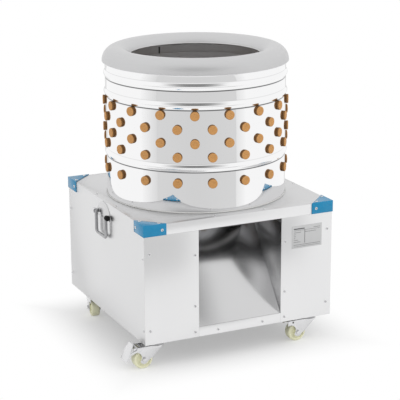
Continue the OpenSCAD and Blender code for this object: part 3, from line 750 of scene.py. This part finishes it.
@dataclass
class Drum:
    """The polished drum, its rolled feed ring and the fingers in its wall."""

    # The wall and the lining inside it
    radius: float = DRUM_RADIUS
    wall: float = 0.002
    hem: float = 0.0006
    clear: float = 0.0001
    lining: float = 0.0004
    # The pressed beads
    bead_heights: tuple[float, ...] = BEAD_HEIGHTS
    bead_half: float = 0.0125
    bead_rise: float = 0.0045
    bead_steps: int = 10
    # The rim, the sealant and the weld
    rim: float = 0.002
    rim_fold: float = 0.002
    seal_size: float = 0.003
    seal_bulge: float = 0.0003
    weld_half: float = 0.0025
    weld_rise: float = 0.0003
    weld_ends: Point = (0.002, 0.004)
    # The feed ring
    ring_section: float = 0.043
    ring_wall: float = 0.002
    ring_lift: float = 0.015
    ring_roll: float = 0.0019
    # The fingers, with their first column in degrees and their rows above the foot
    columns: int = 17
    first_column: float = -25.5
    low_row: float = 0.089
    upper_row: float = 0.1665
    upper_rows: int = 4
    row_pitch: float = 0.041
    finger_gaps: Point = (0.0003, 0.0006)
    steps: int = 240
    foot: float = field(default_factory=lambda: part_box("drum_shell")[0].z)
    top: float = field(default_factory=lambda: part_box("drum_shell")[1].z)
    lip: float = field(default_factory=lambda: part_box("drum_shell")[1].x)

    def beads(self, radius: float) -> list[Point]:
        """The outline of the pressed beads, from the lowest up.

        Args:
            radius: the radius of the face that they are in.

        Returns:
            Radius and height of each point.
        """
        spots = [i / self.bead_steps for i in range(-self.bead_steps, self.bead_steps + 1)]
        return [(radius + self.bead_rise * (1 + math.cos(math.pi * t)) / 2,
                 self.foot + height + self.bead_half * t)
                for height in self.bead_heights for t in spots]

    def shell(self) -> None:
        """Builds the wall with its beads and its rim, its lining, its weld and its sealant."""
        inside = self.radius - self.wall
        hem, fold, under = self.hem, self.rim_fold, self.top - self.rim
        outer = [(self.radius - hem, self.foot), (self.radius, self.foot + hem)]
        outer += self.beads(self.radius)
        outer += [(self.radius, under - fold), (self.radius + hem, under - hem),
                  (self.radius + fold, under), (self.lip - hem, under), (self.lip, under + hem),
                  (self.lip, self.top - hem), (self.lip - hem, self.top)]
        inner = [(inside + hem, self.top), (inside, self.top - hem)]
        inner += self.beads(inside)[::-1]
        inner += [(inside, self.foot + hem), (inside + hem, self.foot)]
        back = inside + self.lining
        front = back - self.clear
        shape = Shape()
        shape.lathe(outer + [(back, self.top), (back, self.foot)], self.steps, closed=True)
        shape.piece("drum_wall", Finish.DRUM, "cabinet", ["drum_shell"])
        lining = Shape()
        lining.lathe([(front, self.foot), (front, self.top)] + inner, self.steps, closed=True)
        lining.piece("drum_lining", Finish.LINING, "cabinet")
        self.weld("drum_weld", Finish.PLATE, self.radius)
        self.weld("drum_seam", Finish.WELD, inside)
        self.seal()

    def seal(self) -> None:
        """Runs a fillet of sealant round the drum's foot."""
        size = self.seal_size
        corner = (self.radius + self.clear, self.foot + self.clear)
        hollow = arc((self.radius + size, self.foot + size), size - self.seal_bulge, 180.0, 270.0, 6)
        shape = Shape()
        shape.lathe([corner] + hollow[::-1], self.steps, closed=True)
        shape.piece("drum_seal", Finish.SEAL, "cabinet")

    def weld(self, name: str, finish: Finish, radius: float) -> None:
        """Runs the weld down the wall at the back of the drum, over its beads.

        Args:
            name: the piece's name.
            finish: its finish.
            radius: the radius of the face that it is on.
        """
        half, rise = self.weld_half, self.weld_rise
        path = [(radius, self.foot + self.weld_ends[0]), *self.beads(radius),
                (radius, self.top - self.weld_ends[1])]
        outline = [(r - rise, z) for r, z in path] + [(r + rise, z) for r, z in reversed(path)]
        shape = Shape()
        side = shape.bm.faces.new([shape.bm.verts.new((-half, y, z)) for y, z in outline])
        made = bmesh.ops.extrude_face_region(shape.bm, geom=[side])["geom"]
        bmesh.ops.translate(shape.bm, vec=(2 * half, 0, 0), verts=verts_in(made))
        shape.piece(name, finish, "cabinet")

    def ring(self) -> None:
        """Builds the half-round feed ring with its rolled inner hem."""
        centre = (self.lip - self.ring_section, self.top)
        end = 180.0 - math.degrees(math.asin(self.ring_lift / self.ring_section))
        thin = self.ring_section - self.ring_wall
        outer = arc(centre, self.ring_section, 0.0, end, 40)
        inner = arc(centre, thin, end, 0.0, 40)
        shape = Shape()
        shape.lathe(outer + inner, self.steps, closed=True)
        middle = arc(centre, self.ring_section - self.ring_wall / 2, end, end, 1)[0]
        shape.lathe(arc(middle, self.ring_roll, 0.0, 330.0, 11), self.steps, closed=True)
        shape.piece("feed_ring_roll", Finish.RING, "cabinet", ["feed_ring"])

    def places(self) -> list[Matrix]:
        """Sets out the wall's fingers, in rows whose columns are staggered.

        Returns:
            Where each finger sits.
        """
        step = math.tau / self.columns
        turn = math.radians(self.first_column)
        rows = [(self.upper_row + row * self.row_pitch, 0.0 if row % 2 else 0.5)
                for row in range(self.upper_rows)]
        rows.append((self.low_row, 0.5))
        return [Matrix.Rotation(turn + (column + shift) * step, 4, "Z")
                @ Matrix.Translation((0.0, -self.radius, self.foot + height))
                @ Matrix.Rotation(-math.pi / 2, 4, "X")
                for height, shift in rows for column in range(self.columns)]

    def fingers(self) -> None:
        """Builds every finger of the wall as one piece."""
        shape = Shape()
        shape.stamp(Finger().shape(self.wall, *self.finger_gaps), self.places())
        shape.piece("wall_finger_set", Finish.FINGER, "cabinet", ["wall_fingers"])

    def build(self) -> None:
        """Builds the whole drum."""
        self.shell()
        self.ring()
        self.fingers()


@dataclass
class FeatherDrive:
    """The spinning plate and what turns it."""

    rings: tuple[tuple[float, int], ...] = ((0.080, 6), (0.130, 10), (0.175, 14))
    plate: float = 0.004
    plate_edge: float = 0.0008
    bracket_edge: float = 0.001
    finger_gap: float = 0.0001
    underside: float = field(default_factory=lambda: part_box("feather_plate")[0].z)

    def fingers(self) -> None:
        """Builds the plate's fingers as one piece."""
        shape = Shape()
        places = [Matrix.Rotation(math.tau * (i + 0.5) / count, 4, "Z")
                  @ Matrix.Translation((radius, 0.0, self.underside))
                  for radius, count in self.rings for i in range(count)]
        shape.stamp(Finger().shape(self.plate, self.finger_gap, self.finger_gap), places)
        shape.piece("plate_finger_set", Finish.FINGER, "feather_drive", ["plate_fingers"])

    def build(self) -> None:
        """Builds the plate's fingers and finishes the rest of the drive."""
        self.fingers()
        rounded(Finish.PLATE, self.plate_edge, "feather_plate", "plate_nut", "sweeper_blades")
        dress(Finish.SHAFT, "main_shaft", "motor_shaft")
        dress(Finish.IRON, "plate_hub", "driven_pulley", "motor_pulley", "upper_bearing",
              "lower_bearing")
        dress(Finish.BELT, "drive_belt")
        dress(Finish.MOTOR, "motor_body", "fan_cover", "terminal_box")
        rounded(Finish.PAINT, self.bracket_edge, "motor_plate")


def islands(node: str) -> list[tuple[Vector, Vector]]:
    """Finds the separate solids of a CAD node.

    Args:
        node: the node's name.

    Returns:
        The lowest and highest corner of each solid.
    """
    bm = bmesh.new()
    bm.from_mesh(frame["nodes"][node].data)
    bmesh.ops.remove_doubles(bm, verts=bm.verts, dist=CAD_MERGE)
    left = set(bm.verts)
    boxes = []
    while left:
        group, edge = set(), {left.pop()}
        while edge:
            group |= edge
            edge = {e.other_vert(v) for v in edge for e in v.link_edges} - group
        left -= group
        points = [v.co.copy() for v in group]
        boxes.append((Vector([min(p[i] for p in points) for i in range(3)]),
                      Vector([max(p[i] for p in points) for i in range(3)])))
    bm.free()
    return sorted(boxes, key=lambda box: tuple(box[0]))


def facing(low: Vector, high: Vector) -> Matrix:
    """The place of a flat round piece that stands on a face of the cabinet.

    Args:
        low: the piece's lowest corner.
        high: its highest corner.

    Returns:
        A matrix whose Z axis points away from the cabinet, at the middle of the seat.
    """
    size = high - low
    thin = min(range(3), key=lambda i: size[i])
    centre = (low + high) / 2
    away = Vector((0.0, 0.0, 0.0))
    away[thin] = 1.0 if thin == 2 else math.copysign(1.0, centre[thin])
    return turned(away, centre - away * size[thin] / 2)


@dataclass
class Cabinet:
    """The sheet-steel cabinet, its frame, its guards and its fasteners."""

    sheet_edge: float = 0.0006
    guard_edge: float = 0.0009
    frame_edge: float = 0.001
    label_edge: float = 0.0003
    ink: float = 0.0002
    screw_radius: float = 0.0045
    screw_height: float = 0.002
    screw_steps: int = 20

    def screws(self) -> None:
        """Builds pan-head screws, with a black cross on each for the painted shade in its recess."""
        places = [facing(low, high) for low, high in islands("panel_screws")]
        r, h = self.screw_radius, self.screw_height
        head = Shape()
        head.lathe([(0.0, 0.0), (r, 0.0), (r, h * 0.25), (r * 0.93, h * 0.55), (r * 0.75, h * 0.85),
                    (r * 0.45, h), (0.0, h)], self.screw_steps)
        heads = Shape()
        heads.stamp(head, places)
        heads.piece("screw_heads", Finish.ZINC, "cabinet", ["panel_screws"])
        # Painted shade: black crosses on the heads stand in for the shade in the cross recesses
        cross = Shape()
        arm, bar = r * 0.55, r * 0.09
        cross.block((-arm, -bar, h * 0.9), (arm, bar, h * 1.01))
        cross.block((-bar, -arm, h * 0.9), (bar, arm, h * 1.01))
        recess_shades = Shape()
        recess_shades.stamp(cross, places)
        recess_shades.piece("screw_recesses", Finish.BLACK, "cabinet")

    @property
    def rule_table(self) -> list[tuple[float, float, float, float]]:
        """The rating plate's rules: start, end and height as shares of the plate, then thickness."""
        rules = [(0.06, 0.42, 0.86, 0.0032), (0.72, 0.94, 0.86, 0.001), (0.06, 0.94, 0.79, 0.0006),
                 (0.06, 0.94, 0.15, 0.0009), (0.06, 0.94, 0.08, 0.0006), (0.42, 0.8, 0.7, 0.001),
                 (0.42, 0.434, 0.51, 0.042)]
        return rules + [(0.06, end, 0.7 - 0.085 * row, 0.001)
                        for row, end in enumerate((0.3, 0.13, 0.13, 0.11, 0.2, 0.28))]

    def label(self) -> None:
        """Builds the bare rating plate with its ruled lines."""
        rounded(Finish.LABEL, self.label_edge, "rating_plate")
        low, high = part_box("rating_plate")
        wide, tall = high.x - low.x, high.z - low.z
        rules = Shape()
        for left, right, height, thick in self.rule_table:
            z = low.z + height * tall
            rules.block((low.x + left * wide, low.y - self.ink, z - thick / 2),
                        (low.x + right * wide, low.y + self.ink, z + thick / 2))
        rules.piece("rating_plate_rules", Finish.INK, "cabinet")

    def build(self) -> None:
        """Builds the cabinet."""
        rounded(Finish.TABLE, self.sheet_edge, "table_top")
        rounded(Finish.FRONT, self.sheet_edge, "front_panel_left", "front_panel_right", "front_beam")
        rounded(Finish.SIDE, self.sheet_edge, "side_panel_left", "side_panel_right", "back_panel")
        rounded(Finish.CHUTE, self.sheet_edge / 2, "chute_floor")
        rounded(Finish.CHEEK, self.sheet_edge / 2, "chute_cheeks")
        rounded(Finish.GUARD, self.guard_edge, "corner_guards")
        dress(Finish.SHADED_PAN, "drum_pan")
        rounded(Finish.PAINT, self.frame_edge, "frame_posts", "frame_rails", "drive_beams",
                "castor_gussets")
        self.screws()
        self.label()


@dataclass(frozen=True)
class Move:
    """One stretch of a bent rod: a straight run, then a quarter turn towards a direction."""

    length: float
    bend: float = 0.0
    towards: Vector | None = None


@dataclass
class Handles:
    """The two drop handles: back plates, pivot bosses and bails."""

    rod: float = 0.005
    pin: float = 0.004
    width: float = 0.078
    drop: float = 0.064
    bend: float = 0.010
    pin_reach: float = 0.0142
    pin_edge: float = 0.0006
    rod_edge: float = 0.001
    plate_edge: float = 0.0006
    boss_edge: float = 0.0008
    sides: int = 20
    bend_steps: int = 8

    def bent_rod(self, shape: Shape, start: Vector, heading: Vector, moves: Sequence[Move]) -> None:
        """Draws a round rod through straight runs and quarter turns.

        Args:
            shape: what the rod is added to.
            start: the middle of its first end.
            heading: the way that it sets off.
            moves: its stretches, in order.
        """
        bm = shape.bm
        verts = bmesh.ops.create_circle(bm, cap_ends=True, segments=self.sides, radius=self.rod,
                                        matrix=turned(heading, start))["verts"]
        edges = list({e for v in verts for e in v.link_edges})
        here = start.copy()
        for move in moves:
            made = bmesh.ops.extrude_edge_only(bm, edges=edges)["geom"]
            verts = verts_in(made)
            edges = [g for g in made
                     if isinstance(g, bmesh.types.BMEdge) and set(g.verts) <= set(verts)]
            bmesh.ops.translate(bm, vec=heading * move.length, verts=verts)
            here += heading * move.length
            if move.towards:
                centre = here + move.towards * move.bend
                last = bmesh.ops.spin(bm, geom=verts + edges, cent=centre,
                                      axis=heading.cross(move.towards), dvec=(0, 0, 0),
                                      angle=math.pi / 2, steps=self.bend_steps)["geom_last"]
                verts = verts_in(last)
                edges = [g for g in last if isinstance(g, bmesh.types.BMEdge)]
                here = centre + heading * move.bend
                heading = move.towards
        bmesh.ops.contextual_create(bm, geom=edges)

    def bail(self, side: str) -> None:
        """Builds one bail on its hinge.

        Args:
            side: left or right.
        """
        hinge = Vector(JOINT[f"{side}_bail_lift"]["pos_m"])
        down, across, up = Vector((0, 0, -1)), Vector((0, -1, 0)), Vector((0, 0, 1))
        shape = Shape()
        leg = self.drop - self.bend + self.rod
        self.bent_rod(shape, hinge + Vector((0, self.width / 2, self.rod)), down, [
            Move(leg, self.bend, across), Move(self.width - 2 * self.bend, self.bend, up), Move(leg)])
        rims = [e for e in shape.bm.edges if e.calc_face_angle(0.0) > SHARP_EDGE]
        shape.soften(rims, self.rod_edge)
        for end in (-1, 1):
            start = hinge + Vector((0, end * self.width / 2, 0))
            r, reach, edge = self.pin, self.pin_reach, self.pin_edge
            shape.lathe([(0, 0), (r, 0), (r, reach - edge), (r - edge, reach), (0, reach)],
                        self.sides, turned((0, end, 0), start))
        shape.piece(f"bail_{side}_rod", Finish.BAIL, f"{side}_bail", [f"bail_{side}"])

    def build(self) -> None:
        """Builds both handles."""
        rounded(Finish.DOME, self.plate_edge, "handle_plates")
        for name, finish, end in (("black", Finish.BLACK, -1.0), ("steel", Finish.ZINC, 1.0)):
            boss = Shape()
            boss.copy_node("handle_bosses", self.boss_edge)
            boss.keep(lambda point, end=end: point.y * end > 0.0)
            nodes = ["handle_bosses"] if finish is Finish.BLACK else []
            boss.piece(f"handle_bosses_{name}", finish, "cabinet", nodes)
        self.bail("left")
        self.bail("right")


@dataclass
class Castors:
    """The four castors, two of them with brake pedals."""

    names: tuple[str, ...] = ("front_left", "front_right", "back_left", "back_right")
    braked: tuple[str, ...] = ("front_left", "back_right")
    radius: float = 0.030
    half_width: float = 0.014
    boss: float = 0.009
    boss_half: float = 0.0156
    bore: float = 0.00405
    edge: float = 0.0006
    dish: float = 0.004
    shoulder: float = 0.006
    raceway_bore: float = 0.0061
    raceway_groove: float = 0.0025
    plate_edge: float = 0.0006
    fork_edge: float = 0.0005
    steps: int = 56

    def wheel(self, name: str) -> None:
        """Builds one wheel with a crowned tread and dished sides.

        Args:
            name: the castor's corner.
        """
        joint = JOINT[f"{name}_roll"]
        r, w, edge, shoulder = self.radius, self.half_width, self.edge, self.shoulder
        web = w - self.dish
        half = [(self.bore, self.boss_half), (self.boss - edge, self.boss_half),
                (self.boss, self.boss_half - edge), (self.boss + 0.0004, web), (r - 0.0095, web),
                (r - 0.0085, web + edge), (r - 0.0075, w - 0.0004), (r - 0.0065, w)]
        half += arc((r - shoulder, w - shoulder), shoulder, 90.0, 12.0, 8)
        half += [(r - 0.00005, w - 0.008), (r, w - 0.011)]
        profile = half + [(x, -z) for x, z in reversed(half)]
        shape = Shape()
        shape.lathe(profile, self.steps, turned(joint["axis"], joint["pos_m"]), closed=True)
        shape.piece(f"wheel_{name}_tyre", Finish.WHEEL, f"roller_{name}", [f"wheel_{name}"])

    def raceways(self) -> None:
        """Builds the swivel raceways with their pressed lips."""
        shape = Shape()
        for low, high in islands("castor_raceways"):
            r, h, bore = (high.x - low.x) / 2, high.z - low.z, self.raceway_bore
            waist = r - self.raceway_groove
            centre = ((low.x + high.x) / 2, (low.y + high.y) / 2, low.z)
            profile = [(bore, 0), (r - 0.0015, 0), (r, 0.001), (r, h * 0.3), (waist, h * 0.4),
                       (waist, h * 0.55), (r, h * 0.65), (r, h - 0.001), (r - 0.001, h), (bore, h)]
            shape.lathe(profile, self.steps, Matrix.Translation(centre), closed=True)
        shape.piece("castor_raceway_rings", Finish.PLATE, "cabinet", ["castor_raceways"])

    def build(self) -> None:
        """Builds every castor."""
        rounded(Finish.ZINC, self.plate_edge, "castor_plates")
        self.raceways()
        for name in self.names:
            rounded(Finish.ZINC, self.fork_edge, f"fork_{name}", f"axle_{name}")
            self.wheel(name)
        for name in self.braked:
            rounded(Finish.ZINC, self.fork_edge, f"pedal_{name}")


@dataclass
class SwitchStation:
    """The switch box with its two buttons and its cable gland."""

    bezel: float = 0.0035
    bezel_height: float = 0.002
    lip_width: float = 0.002
    lip_depth: float = 0.005
    cap_round: float = 0.0015
    clear: float = 0.0005
    box_edge: float = 0.001
    gland_edge: float = 0.0008
    steps: int = 40

    def button(self, node: str, finish: Finish) -> None:
        """Builds one domed button and the bezel round it.

        Args:
            node: the button's CAD node.
            finish: the button's finish.
        """
        low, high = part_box(node)
        length, lip = high.x - low.x, (high.z - low.z) / 2
        cap, deep, bend = lip - self.lip_width, self.lip_depth, self.cap_round
        place = turned((1, 0, 0), (low.x, (low.y + high.y) / 2, (low.z + high.z) / 2))
        shape = Shape()
        profile = [(0, 0), (lip, 0), (lip, deep), (cap, deep), (cap, length - 0.002)]
        profile += arc((cap - bend, length - 0.0022), bend, 0.0, 80.0, 4)
        profile += [(cap * 0.6, length - 0.0002), (0, length)]
        shape.lathe(profile, self.steps, place)
        shape.piece(f"{node}_cap", finish, BODY_OF[node], [node])
        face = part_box("switch_box")[1].x - low.x
        ring = Shape()
        inside, outside, top = cap + self.clear, cap + self.bezel, face + self.bezel_height
        ring.lathe([(inside, face), (outside, face), (outside, top - 0.0006), (outside - 0.0008, top),
                    (inside, top)], self.steps, place, closed=True)
        ring.piece(f"{node}_bezel", Finish.ZINC, "cabinet")

    def build(self) -> None:
        """Builds the box, the buttons and the gland."""
        rounded(Finish.SWITCH, self.box_edge, "switch_box")
        rounded(Finish.BLACK, self.gland_edge, "cable_gland")
        self.button("start_button", Finish.GREEN)
        self.button("stop_button", Finish.RED)


@dataclass
class Studio:
    """The camera, the floor, the cards and the lamps."""

    # The camera as fitted to the photograph, with its angles in degrees
    azimuth: float = -25.17
    elevation: float = 15.67
    roll: float = -0.29
    distance: float = 4.35597
    target_side: float = 0.012
    target_height: float = 0.41009
    focal_pixels: float = 1397.2
    image_pixels: float = 400.0
    sensor: float = 36.0
    # The room, its floor and where the machine's shade on it ends
    ambient: float = 0.76
    floor_size: float = 14.0
    floor_glow: float = 0.38
    shade_across: Point = (0.3, 0.48)
    shade_along: Point = (0.25, 0.45)
    # The cards round the drum and the one above them
    card_distance: float = 1.6
    card_height: float = 0.68
    card_pieces: int = 8
    high_angle: float = -1.0
    high_rise: float = 37.0
    high_distance: float = 3.0
    high_base: float = 0.6
    high_size: Point = (5.0, 1.6)
    high_soft: Point = (0.45, 0.2)
    high_level: float = 0.25
    lamp_size: float = 2.4
    lamp_aim: float = 0.4
    # Each round card: its name, the angles and the brightness of its two ends
    round_cards = (("fade_left", (-66.0, -46.0), (0.98, 0.76)),
                   ("front_left", (-46.0, 0.0), (0.715, 0.682)),
                   ("front_right", (0.0, 48.0), (0.682, 0.715)),
                   ("fade_right", (48.0, 60.0), (0.84, 0.98)),
                   ("back_left", (150.0, 182.0), (0.8, 0.7)),
                   ("back_right", (182.0, 215.0), (0.7, 0.8)))
    # Each lamp: its name, its place and its watts
    lamps = (("key", (2.2, -2.6, 3.2), 48.0), ("fill", (-2.8, -1.6, 2.4), 18.0))

    def direction(self, turn: float, rise: float = 0.0) -> Vector:
        """A way out from the drum's axis.

        Args:
            turn: degrees round the drum from the camera.
            rise: degrees above level.

        Returns:
            A vector of length 1.
        """
        az, el = math.radians(self.azimuth + turn), math.radians(rise)
        return Vector((math.sin(az) * math.cos(el), -math.cos(az) * math.cos(el), math.sin(el)))

    def camera(self) -> None:
        """Puts the camera where the photograph was taken from."""
        roll = math.radians(self.roll)
        back, right = self.direction(0.0, self.elevation), self.direction(90.0)
        up = back.cross(right)
        rolled_right = right * math.cos(roll) + up * math.sin(roll)
        rolled_up = up * math.cos(roll) - right * math.sin(roll)
        target = right * self.target_side + Vector((0.0, 0.0, self.target_height))
        lens = bpy.data.cameras.new("camera")
        lens.sensor_width = self.sensor
        lens.lens = self.focal_pixels * self.sensor / self.image_pixels
        lens.clip_end = 100.0
        camera = bpy.data.objects.new("camera", lens)
        turn = Matrix((rolled_right, rolled_up, back)).transposed().to_4x4()
        camera.matrix_world = Matrix.Translation(target + back * self.distance) @ turn
        bpy.context.scene.collection.objects.link(camera)
        bpy.context.scene.camera = camera

    def world(self) -> None:
        """Lights the room evenly and shows it white to the camera and to polished metal."""
        world = bpy.data.worlds.new("room")
        bpy.context.scene.world = world
        sky = Sky(world)
        sky.surface(Color=WHITE, Strength=self.ambient + sky.seen() * (1.0 - self.ambient))

    @staticmethod
    def sheet(graph: Graph, name: str, width: float, place: Matrix) -> bpy.types.Object:
        """Adds a flat square sheet that isn't part of the machine.

        Args:
            graph: its material's graph.
            name: its name.
            width: how wide its mesh is.
            place: where the mesh goes.

        Returns:
            The sheet.
        """
        bm = bmesh.new()
        bmesh.ops.create_grid(bm, x_segments=1, y_segments=1, size=width / 2)
        mesh = bpy.data.meshes.new(name)
        bm.to_mesh(mesh)
        bm.free()
        mesh.materials.append(graph.material)
        thing = bpy.data.objects.new(name, mesh)
        thing.matrix_world = place
        bpy.context.scene.collection.objects.link(thing)
        return thing

    def card(self, name: str, place: Matrix, size: Point, level: float,
             soft: Point | None = None) -> None:
        """Stands a plain card where only polished metal sees it.

        Args:
            name: the card's name.
            place: its middle, with +Z as its face.
            size: its width and height.
            level: how bright it is.
            soft: how much of its width and height fades into the white room, from each edge.
        """
        graph = Graph(name)
        shade: Colour | Sock = (level, level, level)
        if soft:
            fade = self.reach(graph, (0.5 - soft[0], 0.5), (0.5 - soft[1], 0.5))
            shade = graph.mix(fade, shade, WHITE)
        graph.show(graph.add("ShaderNodeEmission", None, {"Color": shade, "Strength": 1.0}))
        card = self.sheet(graph, name, 1.0, place @ Matrix.Diagonal((*size, 1.0, 1.0)))
        card.visible_camera = False
        card.visible_diffuse = False
        card.visible_shadow = False
        card.visible_transmission = False

    @staticmethod
    def reach(graph: Graph, across: Point, along: Point) -> Sock:
        """Rises from 0 inside a rectangle about the origin to 1 outside it.

        Args:
            graph: the material's graph.
            across: where the rise starts and ends, on X.
            along: the same on Y.

        Returns:
            The larger of the two rises.
        """
        rises = []
        for axis, (start, end) in (("X", across), ("Y", along)):
            side = abs(graph.add("ShaderNodeSeparateXYZ", None, {0: graph.place()}, axis))
            rises.append(graph.add("ShaderNodeMapRange", {"interpolation_type": "SMOOTHSTEP"},
                                   {"Value": side, "From Min": start, "From Max": end}))
        return graph.add("ShaderNodeMath", {"operation": "MAXIMUM"}, {0: rises[0], 1: rises[1]})

    def floor(self) -> None:
        """Lays the pale floor, which fades into the white room."""
        graph = Graph("floor_white")
        graph.surface(Base_Color=(0.9, 0.9, 0.9), Roughness=0.9, Specular_IOR_Level=0.0)
        clear = self.reach(graph, self.shade_across, self.shade_along)
        glow = (clear * (1.0 - self.floor_glow) + self.floor_glow) * graph.seen()
        white = graph.add("ShaderNodeEmission", None, {"Color": WHITE, "Strength": 1.0})
        graph.show(graph.add("ShaderNodeMixShader", None,
                             {0: glow, 1: Sock(graph, graph.shader.outputs[0]), 2: white}))
        self.sheet(graph, "floor", self.floor_size, Matrix.Identity(4))

    def lamp(self, name: str, place: Sequence[float], watts: float) -> None:
        """Hangs a square soft lamp that looks at the machine and stays out of its reflections.

        Args:
            name: the lamp's name.
            place: where it hangs.
            watts: how strong it is.
        """
        light = bpy.data.lights.new(name, "AREA")
        light.size = self.lamp_size
        light.energy = watts
        lamp = bpy.data.objects.new(name, light)
        away = Vector(place) - Vector((0.0, 0.0, self.lamp_aim))
        lamp.matrix_world = turned(away, place)
        lamp.visible_glossy = False
        bpy.context.scene.collection.objects.link(lamp)

    def round_card(self, name: str, angles: Point, levels: Point) -> None:
        """Curves a card round the drum, for the bands in its polished wall.

        Args:
            name: the card's name.
            angles: where it starts and ends, in degrees round the drum from the camera.
            levels: how bright it is at its start and at its end.
        """
        spread = angles[1] - angles[0]
        width = 2 * self.card_distance * math.tan(math.radians(spread / self.card_pieces / 2))
        for i in range(self.card_pieces):
            share = (i + 0.5) / self.card_pieces
            out = self.direction(angles[0] + spread * share)
            centre = out * self.card_distance + Vector((0.0, 0.0, self.card_height / 2))
            level = levels[0] + (levels[1] - levels[0]) * share
            self.card(f"{name}_{i}", turned(-out, centre), (width, self.card_height), level)

    def high_card(self) -> None:
        """Hangs a dark card above the front cards, for the streaks in the beads."""
        out = self.direction(self.high_angle, self.high_rise)
        centre = out * self.high_distance + Vector((0.0, 0.0, self.high_base))
        self.card("high_card", turned(-out, centre), self.high_size, self.high_level, self.high_soft)

    def build(self) -> None:
        """Sets the whole studio."""
        bpy.context.scene.view_settings.view_transform = "Standard"
        self.camera()
        self.world()
        self.floor()
        for card in self.round_cards:
            self.round_card(*card)
        self.high_card()
        for lamp in self.lamps:
            self.lamp(*lamp)


def main() -> None:
    """Builds the machine and the studio."""
    logging.basicConfig(level=logging.INFO, format="%(name)s: %(message)s")
    Studio().build()
    for part in (Drum(), FeatherDrive(), Cabinet(), Handles(), Castors(), SwitchStation()):
        LOG.info("building the %s", type(part).__name__)
        part.build()


if __name__ == "__main__":
    main()
